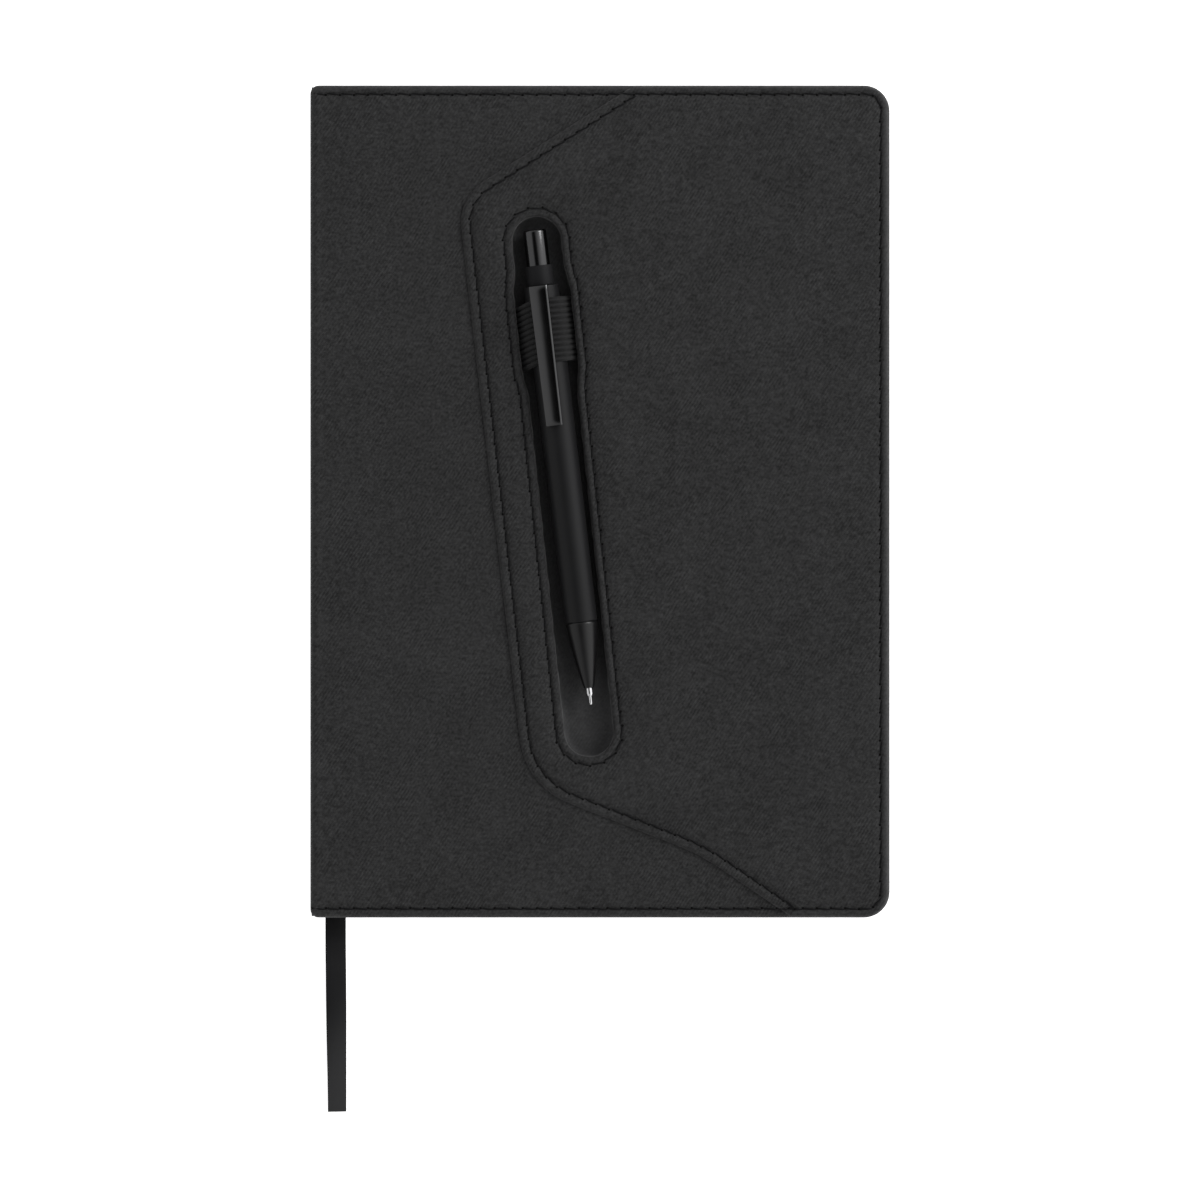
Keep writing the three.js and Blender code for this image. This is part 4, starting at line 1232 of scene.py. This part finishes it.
class NOTEBOOK_OT_pages(bpy.types.Operator):
    """The folded sections of leaves and the flyleaves"""
    bl_idname = "notebook.pages"
    bl_label = "Pages"

    def leaf(self, name, z, thickness, material):
        """One leaf with rounded fore corners, cut into columns so that it can bend at the gutter."""
        straight = PAGE_HIGH.x - PAGE_LOW.x - PAGE_CORNER
        bending = np.linspace(0, LEAF_FINE_COLUMNS, 22)
        flat = np.linspace(2 * LEAF_FINE_COLUMNS, straight, 10)
        curve = PAGE_CORNER * np.sin(np.linspace(0, math.pi / 2, 8))[1:]
        columns = np.concatenate([bending, flat, straight + curve])
        verts = []
        for x in columns:
            past = max(0.0, x - straight)
            half = PAGE_HIGH.y - PAGE_CORNER + math.sqrt(max(PAGE_CORNER ** 2 - past ** 2, 0))
            for y in (-half, half):
                for level in (z, z + thickness):
                    verts.append((PAGE_LOW.x + x, y, level))
        faces = []
        for i in range(len(columns) - 1):
            a = 4 * i
            b = a + 4
            faces += [(a, a + 2, b + 2, b), (a + 1, b + 1, b + 3, a + 3)]
            faces += [(a, b, b + 1, a + 1), (a + 2, a + 3, b + 3, b + 2)]
        end = 4 * (len(columns) - 1)
        faces += [(0, 1, 3, 2), (end, end + 2, end + 3, end + 1)]
        mesh = new_mesh(name, verts, faces)
        mesh.materials.append(material)
        return linked(name, mesh)

    def settle(self, made, body, slot, node):
        """Rides the lower pages on the back cover, and bakes the upper ones where they lie, in place of their
        CAD nodes.
        """
        made.data.shade_flat()
        if body == "back_cover":
            place(made, body, slot, node)
            return
        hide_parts(node)
        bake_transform(made)

    def execute(self, context):
        settings = context.scene.notebook_pages
        tree = leaf_tree()
        for number in range(1, 11):
            node = f"signature_{number:02d}"
            low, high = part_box(node)
            pitch = (high.z - low.z - settings.leaf) / (settings.leaves - 1)
            source = self.leaf(node + "_leaf", low.z, settings.leaf, MATERIALS["paper"])
            made = grown(source, tree, {
                "Count": settings.leaves,
                "Pitch": pitch,
                "Stray": settings.stray,
                "Seed": number,
                "Material": MATERIALS["paper"],
            }, f"leaves_{number:02d}")
            body = "front_pages" if number <= 5 else "back_cover"
            self.settle(made, body, "paper", node)
        for node, body in (("front_flyleaf", "front_pages"), ("back_flyleaf", "back_cover")):
            low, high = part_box(node)
            made = self.leaf(node + "_sheet", low.z, high.z - low.z, MATERIALS["endpaper"])
            self.settle(made, body, "endpaper", node)
        return {"FINISHED"}


# ---- The ribbon ----

def ribbon_route():
    """The ribbon's middle line: level between the pages, down in two arcs, then along the table."""
    bends = RIBBON_UPPER_BEND + RIBBON_LOWER_BEND
    angle = math.acos(1 - (RIBBON_TOP_Z - RIBBON_LYING_Z) / bends)
    lying_y = RIBBON_LEAVES - bends * math.sin(angle)
    route = [(RIBBON_HEAD_Y, RIBBON_TOP_Z), (60 * MM, RIBBON_TOP_Z), (0, RIBBON_TOP_Z)]
    route += [(-60 * MM, RIBBON_TOP_Z), (-95 * MM, RIBBON_TOP_Z)]
    steps = 7
    for i in range(steps + 1):
        a = angle * i / steps
        z = RIBBON_TOP_Z - RIBBON_UPPER_BEND * (1 - math.cos(a))
        route.append((RIBBON_LEAVES - RIBBON_UPPER_BEND * math.sin(a), z))
    for i in range(steps - 1, -1, -1):
        a = angle * i / steps
        z = RIBBON_LYING_Z + RIBBON_LOWER_BEND * (1 - math.cos(a))
        route.append((lying_y + RIBBON_LOWER_BEND * math.sin(a), z))
    for share in (0.2, 0.4, 0.6, 0.8, 1.0):
        route.append((lying_y + (RIBBON_TAIL_Y - lying_y) * share, RIBBON_LYING_Z))
    return [Vector((RIBBON_X, y, z)) for y, z in route]


class NOTEBOOK_OT_ribbon(bpy.types.Operator):
    """The ribbon bookmark, with its loose end turned a little on its edge"""
    bl_idname = "notebook.ribbon"
    bl_label = "Ribbon"

    def execute(self, context):
        settings = context.scene.notebook_ribbon
        route = ribbon_route()
        stations = [0.0]
        for a, b in zip(route, route[1:]):
            stations.append(stations[-1] + (b - a).length)
        total = stations[-1]
        rows = np.arange(0, total, 1.0 * MM)
        rows = np.append(rows, total)
        y = np.interp(rows, stations, [p.y for p in route])
        z = np.interp(rows, stations, [p.z for p in route])
        half = settings.width / 2
        across = np.array([-1, -0.93, -0.86, -0.5, 0, 0.5, 0.86, 0.93, 1]) * half
        shell = Shell()
        verts = []
        wear_and_painted_light = []
        turn_from = total - 42 * MM
        for i, row in enumerate(rows):
            before = max(i - 1, 0)
            after = min(i + 1, len(rows) - 1)
            along = Vector((0, y[after] - y[before], z[after] - z[before])).normalized()
            up = Vector((1, 0, 0)).cross(along)
            if up.z < 0:
                up.negate()
            share = min(max((row - turn_from) / (total - turn_from), 0), 1)
            twist = settings.twist * eased(share)
            side = Vector((math.cos(twist), 0, 0)) - up * math.sin(twist)
            pivot = Vector((RIBBON_X + half, y[i], z[i]))
            for face in (1, -1):
                for x in across * face:
                    cup = 0.12 * MM * (1 - (x / half) ** 2)
                    at = pivot + side * (x - half) + up * (cup + face * settings.thickness / 2)
                    verts.append(at)
                    wear_and_painted_light.append(1.0 if abs(x) > 0.9 * half else 0.0)
        shell.add(verts, ring_faces(len(rows), 2 * len(across), capped=True), wear_and_painted_light)
        made = shell.build("bookmark_ribbon", MATERIALS["ribbon"])
        place(made, "back_cover", "ribbon", "ribbon_bookmark")
        return {"FINISHED"}


# ---- The elastic and the pen ----

PEN_PLACE = Matrix.Translation(PEN_TIP) @ Matrix.Rotation(PEN_TURN, 4, "Z")
CLIP_PLACE = PEN_PLACE @ Matrix.Rotation(CLIP_ROLL, 4, "Y")


class NOTEBOOK_OT_elastic(bpy.types.Operator):
    """The ribbed elastic band over the pen's barrel"""
    bl_idname = "notebook.elastic"
    bl_label = "Elastic"

    def section(self, thickness, centre):
        """Points of the band's middle line from wall to wall, with its outward direction."""
        radius = BARREL_RADIUS + 0.12 * MM + thickness / 2
        leave = math.radians(30)
        floor = LINING_LOW.z + 0.6 * MM - PEN_TIP.z
        half = []
        for side in (-1, 1):
            wall = ELASTIC_WALL - thickness / 2 - side * centre
            points = []
            for i in range(13):
                a = math.pi / 2 - (math.pi / 2 - leave) * i / 12
                points.append((side * radius * math.cos(a), radius * math.sin(a)))
            x, z = points[-1]
            reach = wall - abs(x)
            for share in (0.25, 0.5, 0.75, 0.92):
                points.append((side * (abs(x) + reach * share), z - reach * share / math.tan(leave)))
            bottom = z - reach / math.tan(leave)
            points.append((side * wall, bottom - 0.2 * MM))
            points.append((side * wall, (bottom + floor) / 2))
            points.append((side * wall, floor))
            half.append(points)
        return half[0][::-1] + half[1][1:]

    def execute(self, context):
        settings = context.scene.notebook_elastic
        axis = complex(-math.sin(PEN_TURN), math.cos(PEN_TURN))
        middle = complex(PEN_TIP.x, PEN_TIP.y) + axis * (ELASTIC_START + ELASTIC_END) / 2
        centre = ((middle - SLOT_FOOT) / SLOT_AXIS * 1j).real
        line = self.section(settings.thickness, centre)
        span = ELASTIC_END - ELASTIC_START
        rows = settings.ribs * 8
        tangents = []
        for i in range(len(line)):
            a = line[max(i - 1, 0)]
            b = line[min(i + 1, len(line) - 1)]
            size = math.hypot(b[0] - a[0], b[1] - a[1])
            tangents.append(((b[0] - a[0]) / size, (b[1] - a[1]) / size))
        verts = []
        painted_rib_light = []
        count = 2 * len(line)
        for k in range(rows + 1):
            share = k / rows
            crest = abs(math.sin(math.pi * settings.ribs * share)) ** 1.1
            rib = settings.rib_height * crest
            # Painted shade: 1 on the crests and near 0 in the gaps, which the material paints near black.
            painted_rib_light.extend([crest ** 3] * count)
            end = min(share, 1 - share) * rows / 2
            half = settings.thickness / 2 * min(1.0, 0.35 + end)
            for face in (1, -1):
                order = range(len(line)) if face == 1 else reversed(range(len(line)))
                for i in order:
                    (x, z), (tx, tz) = line[i], tangents[i]
                    raised = half + (rib if face == 1 else 0)
                    drop = max(0.0, -x - 2.0 * MM) * math.tan(settings.slump)
                    local = Vector((
                        x - tz * raised * face,
                        ELASTIC_START + span * share - drop,
                        z + tx * raised * face,
                    ))
                    verts.append(PEN_PLACE @ local)
        faces = ring_faces(rows + 1, count, capped=True)
        mesh = new_mesh("elastic_band", verts, faces, painted_rib_light)
        made = finish_mesh("elastic_band", mesh, MATERIALS["elastic"], 1e-7, math.radians(80))
        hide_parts("elastic_loop")
        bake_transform(made)
        return {"FINISHED"}


class NOTEBOOK_OT_pen(bpy.types.Operator):
    """The click pen: barrel, nose, ferrule, collar, button, clip and writing tip"""
    bl_idname = "notebook.pen"
    bl_label = "Pen"

    def turned_piece(self, name, points, radii, slot, body, node, sides):
        material = MATERIALS.get(node, MATERIALS[slot])
        made = turned(name, smooth_section(points, radii), material, sides, PEN_PLACE)
        place(made, body, slot, node)

    def clip(self):
        """A tapered bar, rolled a little to the left, with eased edges and a rounded crown."""
        low = 5.15 * MM
        low_left = 4.74 * MM
        right_top = 5.85 * MM
        edge = 0.16 * MM
        steps = 10
        start, end = CLIP_STATIONS[0], CLIP_STATIONS[-1]
        verts = []
        for s in CLIP_STATIONS:
            half = (CLIP_HALF_TIP + CLIP_HALF_GAIN * (s - start) / (end - start)) * MM
            dip = edge * (1 - min(min(s - start, end - s) / CLIP_EASED_END, 1.0))
            crown = []
            height = right_top - dip
            shoulder = 0.45 * MM
            x = half - shoulder
            column = (2 * half - shoulder - edge) / steps
            for i in range(steps + 1):
                crown.append((x, height))
                share = (i + 0.5) / steps
                slope = math.radians(CLIP_RIGHT_SLOPE + (CLIP_LEFT_SLOPE - CLIP_RIGHT_SLOPE) * share)
                x -= column
                height += math.tan(slope) * column
            top = crown[0][1]
            right = [(half, low), (half, top - 0.36 * MM), (half - 0.04 * MM, top - 0.25 * MM)]
            right += [(half - 0.2 * MM, top - 0.12 * MM), (half - 0.38 * MM, top - 0.03 * MM)]
            left_top = crown[-1][1]
            left = [(-half + edge * 0.3, left_top - edge * 0.3), (-half, left_top - edge), (-half, low_left)]
            section = right + crown + left
            verts.extend(CLIP_PLACE @ Vector((x, s * MM, z)) for x, z in section)
        rings = len(CLIP_STATIONS)
        mesh = new_mesh("clip_bar", verts, ring_faces(rings, len(verts) // rings, capped=True))
        return finish_mesh("clip_bar", mesh, MATERIALS["gunmetal"], 1e-8, math.radians(40))

    def block(self, name, x, y0, y1, z0, z1, material):
        """A small block with eased edges, in the pen's own frame."""
        work = bmesh.new()
        bmesh.ops.create_cube(work, size=1)
        size = Matrix.Diagonal((2 * x * MM, (y1 - y0) * MM, (z1 - z0) * MM, 1))
        shift = Matrix.Translation((0, (y0 + y1) / 2 * MM, (z0 + z1) / 2 * MM))
        bmesh.ops.transform(work, matrix=CLIP_PLACE @ shift @ size, verts=work.verts)
        bmesh.ops.bevel(work, geom=work.edges, offset=0.15 * MM, segments=2, affect="EDGES", profile=0.5)
        mesh = bpy.data.meshes.new(name)
        work.to_mesh(mesh)
        work.free()
        return finish_mesh(name, mesh, MATERIALS[material], 1e-8, math.radians(40))

    def execute(self, context):
        sides = context.scene.notebook_pen.sides
        self.turned_piece("pen_body", [
            (3.1, 21.15), (3.95, 21.15), (4.12, 21.4), (4.25, 45), (4.35, 75), (4.4, 106.4),
            (4.4, 107.0), (3.1, 107.0), (3.1, 21.15),
        ], [0, 0.12, 0.2, 0, 0, 0, 0.2, 0, 0], "pen_black", "pen", "pen_barrel", sides)
        self.turned_piece("pen_point", [
            (0.85, 4.3), (1.3, 4.3), (1.62, 5.6), (2.3, 9), (3.02, 13), (3.62, 17), (4.03, 20.6),
            (3.9, 21.0), (2.85, 21.0), (2.85, 28), (1.75, 28), (1.75, 9), (0.85, 8.4), (0.85, 4.3),
        ], [0, 0.12, 0, 1.0, 3.0, 3.0, 0.2, 0.1, 0, 0, 0, 0, 0, 0], "pen_black", "pen", "pen_nose", sides)
        self.turned_piece("pen_tip_ferrule", [
            (0.6, 2.3), (0.78, 2.3), (0.92, 2.75), (0.92, 4.2), (0.77, 4.2), (0.77, 8), (0.6, 8),
            (0.6, 2.3),
        ], [0, 0.06, 0.2, 0.05, 0, 0, 0, 0], "pen_silver", "pen", "pen_ferrule", sides)
        self.turned_piece("pen_upper_collar", [
            (2.3, 105.2), (2.9, 105.2), (2.9, 107.15), (3.35, 107.15), (3.35, 112.2), (3.08, 112.2),
            (3.08, 108), (2.3, 108), (2.3, 105.2),
        ], [0, 0, 0, 0.12, 0.12, 0.1, 0, 0, 0], "pen_collar", "pen", "pen_collar", sides)
        self.turned_piece("pen_push_button", [
            (0.0, 102.3), (2.05, 102.3), (2.05, 109), (2.95, 109), (2.98, 121.3), (0.0, 121.3),
        ], [0, 0, 0, 0.1, 0.55, 0], "gunmetal", "pen_plunger", "pen_button", sides)
        self.turned_piece("pen_writing_tip", [
            (0.0, 0.0), (0.3, 0.04), (0.43, 0.5), (0.46, 2.0), (0.5, 9.6), (1.05, 10.2), (1.05, 12),
            (0.0, 12),
        ], [0, 0.08, 0.3, 0, 0, 0, 0, 0], "pen_silver", "pen_plunger", "refill_tip", 32)
        place(self.clip(), "pen", "gunmetal", "pen_clip")
        place(self.block("clip_foot", 1.65, 104.8, 106.6, 3.6, 5.3, "gunmetal"), "pen", "gunmetal")
        place(self.block("clip_lip", 1.9, 71.55, 72.6, 4.5, 5.3, "gunmetal"), "pen", "gunmetal")
        return {"FINISHED"}


class NOTEBOOK_OT_frame_finishes(bpy.types.Operator):
    """Finishes for the pieces that are kept as they are"""
    bl_idname = "notebook.frame_finishes"
    bl_label = "Frame finishes"

    def execute(self, context):
        slots = {s["node"]: s["material_slot"] for s in frame["record"]["subparts"]}
        for name, node in frame["nodes"].items():
            node.data.materials.clear()
            node.data.materials.append(MATERIALS.get(slots[name], MATERIALS["paper"]))
        return {"FINISHED"}


# ---- The stage ----

class NOTEBOOK_OT_stage(bpy.types.Operator):
    """A pale floor, light from all round, and a camera straight above"""
    bl_idname = "notebook.stage"
    bl_label = "Stage"

    def floor(self, settings):
        size = FLOOR_HALF_WIDTH
        z = -FLOOR_GAP
        corners = [(-size, -size, z), (size, -size, z), (size, size, z), (-size, size, z)]
        mesh = new_mesh("floor", corners, [(0, 1, 2, 3)])
        recipe = Recipe("floor")
        recipe.set(Base_Color=tuple(settings.floor), Roughness=0.9, Specular_IOR_Level=0.1)
        recipe.set(Emission_Color=(1, 1, 1), Emission_Strength=0.75)
        mesh.materials.append(recipe.material)
        linked("floor", mesh)

    def sky(self, settings):
        """Soft light from both sides, less from head and tail, and a dark patch straight overhead."""
        world = bpy.data.worlds.new("studio")
        world.use_nodes = True
        tree = world.node_tree

        def span(value, low, high, at_low, at_high):
            limits = {"Value": value, "From Min": low, "From Max": high, "To Min": at_low, "To Max": at_high}
            return add_node(tree, "ShaderNodeMapRange", limits, interpolation_type="SMOOTHSTEP").outputs[0]

        def times(a, b):
            return add_node(tree, "ShaderNodeMath", {0: a, 1: b}, operation="MULTIPLY").outputs[0]

        direction = add_node(tree, "ShaderNodeTexCoord").outputs["Generated"]
        side = add_node(tree, "ShaderNodeSeparateXYZ", {0: direction}).outputs["X"]
        across = add_node(tree, "ShaderNodeMath", {0: side}, operation="ABSOLUTE").outputs[0]
        patch = (-math.sin(settings.dark_lean), 0, math.cos(settings.dark_lean))
        towards = add_node(tree, "ShaderNodeVectorMath", {0: direction, 1: patch}, operation="DOT_PRODUCT")
        # The patch fades out between 13 and 24 degrees from its middle, as cosines.
        overhead = span(towards.outputs["Value"], 0.915, 0.972, 1.0, 0.05)
        # Brighter towards both sides, and brighter on the right than on the left.
        sides = span(across, 0.15, 0.75, 0.62, 1.45)
        balance = span(side, -0.7, 0.7, 0.62, 1.15)
        background = tree.nodes["Background"]
        strength = times(times(times(overhead, sides), balance), settings.sky)
        feed(tree.links, background.inputs["Strength"], strength)
        background.inputs["Color"].default_value = (1, 1, 1, 1)
        bpy.context.scene.world = world

    def execute(self, context):
        scene = context.scene
        settings = scene.notebook_stage
        camera = bpy.data.cameras.new("camera")
        camera.sensor_width = 36
        camera.lens = 36 * settings.height / settings.view_width
        camera.clip_end = 10
        holder = linked("camera", camera)
        holder.location = (0, settings.view_y, CLOTH_HIGH.z + settings.height)
        scene.camera = holder
        self.floor(settings)
        self.sky(settings)
        key = bpy.data.lights.new("key", "AREA")
        key.shape = "DISK"
        key.size = 0.5
        key.energy = settings.key
        lamp = linked("key", key)
        lamp.location = KEY_PLACE
        lamp.rotation_euler = (-lamp.location).to_track_quat("-Z", "Y").to_euler()
        scene.view_settings.view_transform = "Standard"
        return {"FINISHED"}


# ---- The add-on ----

class NOTEBOOK_PT_panel(bpy.types.Panel):
    """The settings and the pieces, in the order in which they are made"""
    bl_label = "Notebook"
    bl_idname = "NOTEBOOK_PT_panel"
    bl_space_type = "VIEW_3D"
    bl_region_type = "UI"
    bl_category = "Notebook"

    def draw(self, context):
        for group in SETTINGS:
            owner = getattr(context.scene, group)
            column = self.layout.column(align=True)
            for key in owner.__annotations__:
                column.prop(owner, key)
        for operator in OPERATORS:
            self.layout.operator(operator.bl_idname)


SETTINGS = {
    "notebook_cover": NotebookCoverSettings,
    "notebook_stitches": NotebookStitchSettings,
    "notebook_elastic": NotebookElasticSettings,
    "notebook_pen": NotebookPenSettings,
    "notebook_pages": NotebookPageSettings,
    "notebook_ribbon": NotebookRibbonSettings,
    "notebook_stage": NotebookStageSettings,
}

OPERATORS = (
    NOTEBOOK_OT_stage,
    NOTEBOOK_OT_ribbon,
    NOTEBOOK_OT_frame_finishes,
    NOTEBOOK_OT_front_cloth,
    NOTEBOOK_OT_front_panel,
    NOTEBOOK_OT_slot_lining,
    NOTEBOOK_OT_back_cover,
    NOTEBOOK_OT_stitching,
    NOTEBOOK_OT_pages,
    NOTEBOOK_OT_elastic,
    NOTEBOOK_OT_pen,
)


def register():
    for group in SETTINGS.values():
        bpy.utils.register_class(group)
    for operator in OPERATORS:
        bpy.utils.register_class(operator)
    bpy.utils.register_class(NOTEBOOK_PT_panel)
    for name, group in SETTINGS.items():
        setattr(bpy.types.Scene, name, PointerProperty(type=group))


def unregister():
    for name in SETTINGS:
        delattr(bpy.types.Scene, name)
    bpy.utils.unregister_class(NOTEBOOK_PT_panel)
    for operator in reversed(OPERATORS):
        bpy.utils.unregister_class(operator)
    for group in reversed(tuple(SETTINGS.values())):
        bpy.utils.unregister_class(group)


def main():
    register()
    make_materials(bpy.context.scene)
    for operator in OPERATORS:
        area, action = operator.bl_idname.split(".")
        getattr(getattr(bpy.ops, area), action)()


if __name__ == "__main__":
    main()
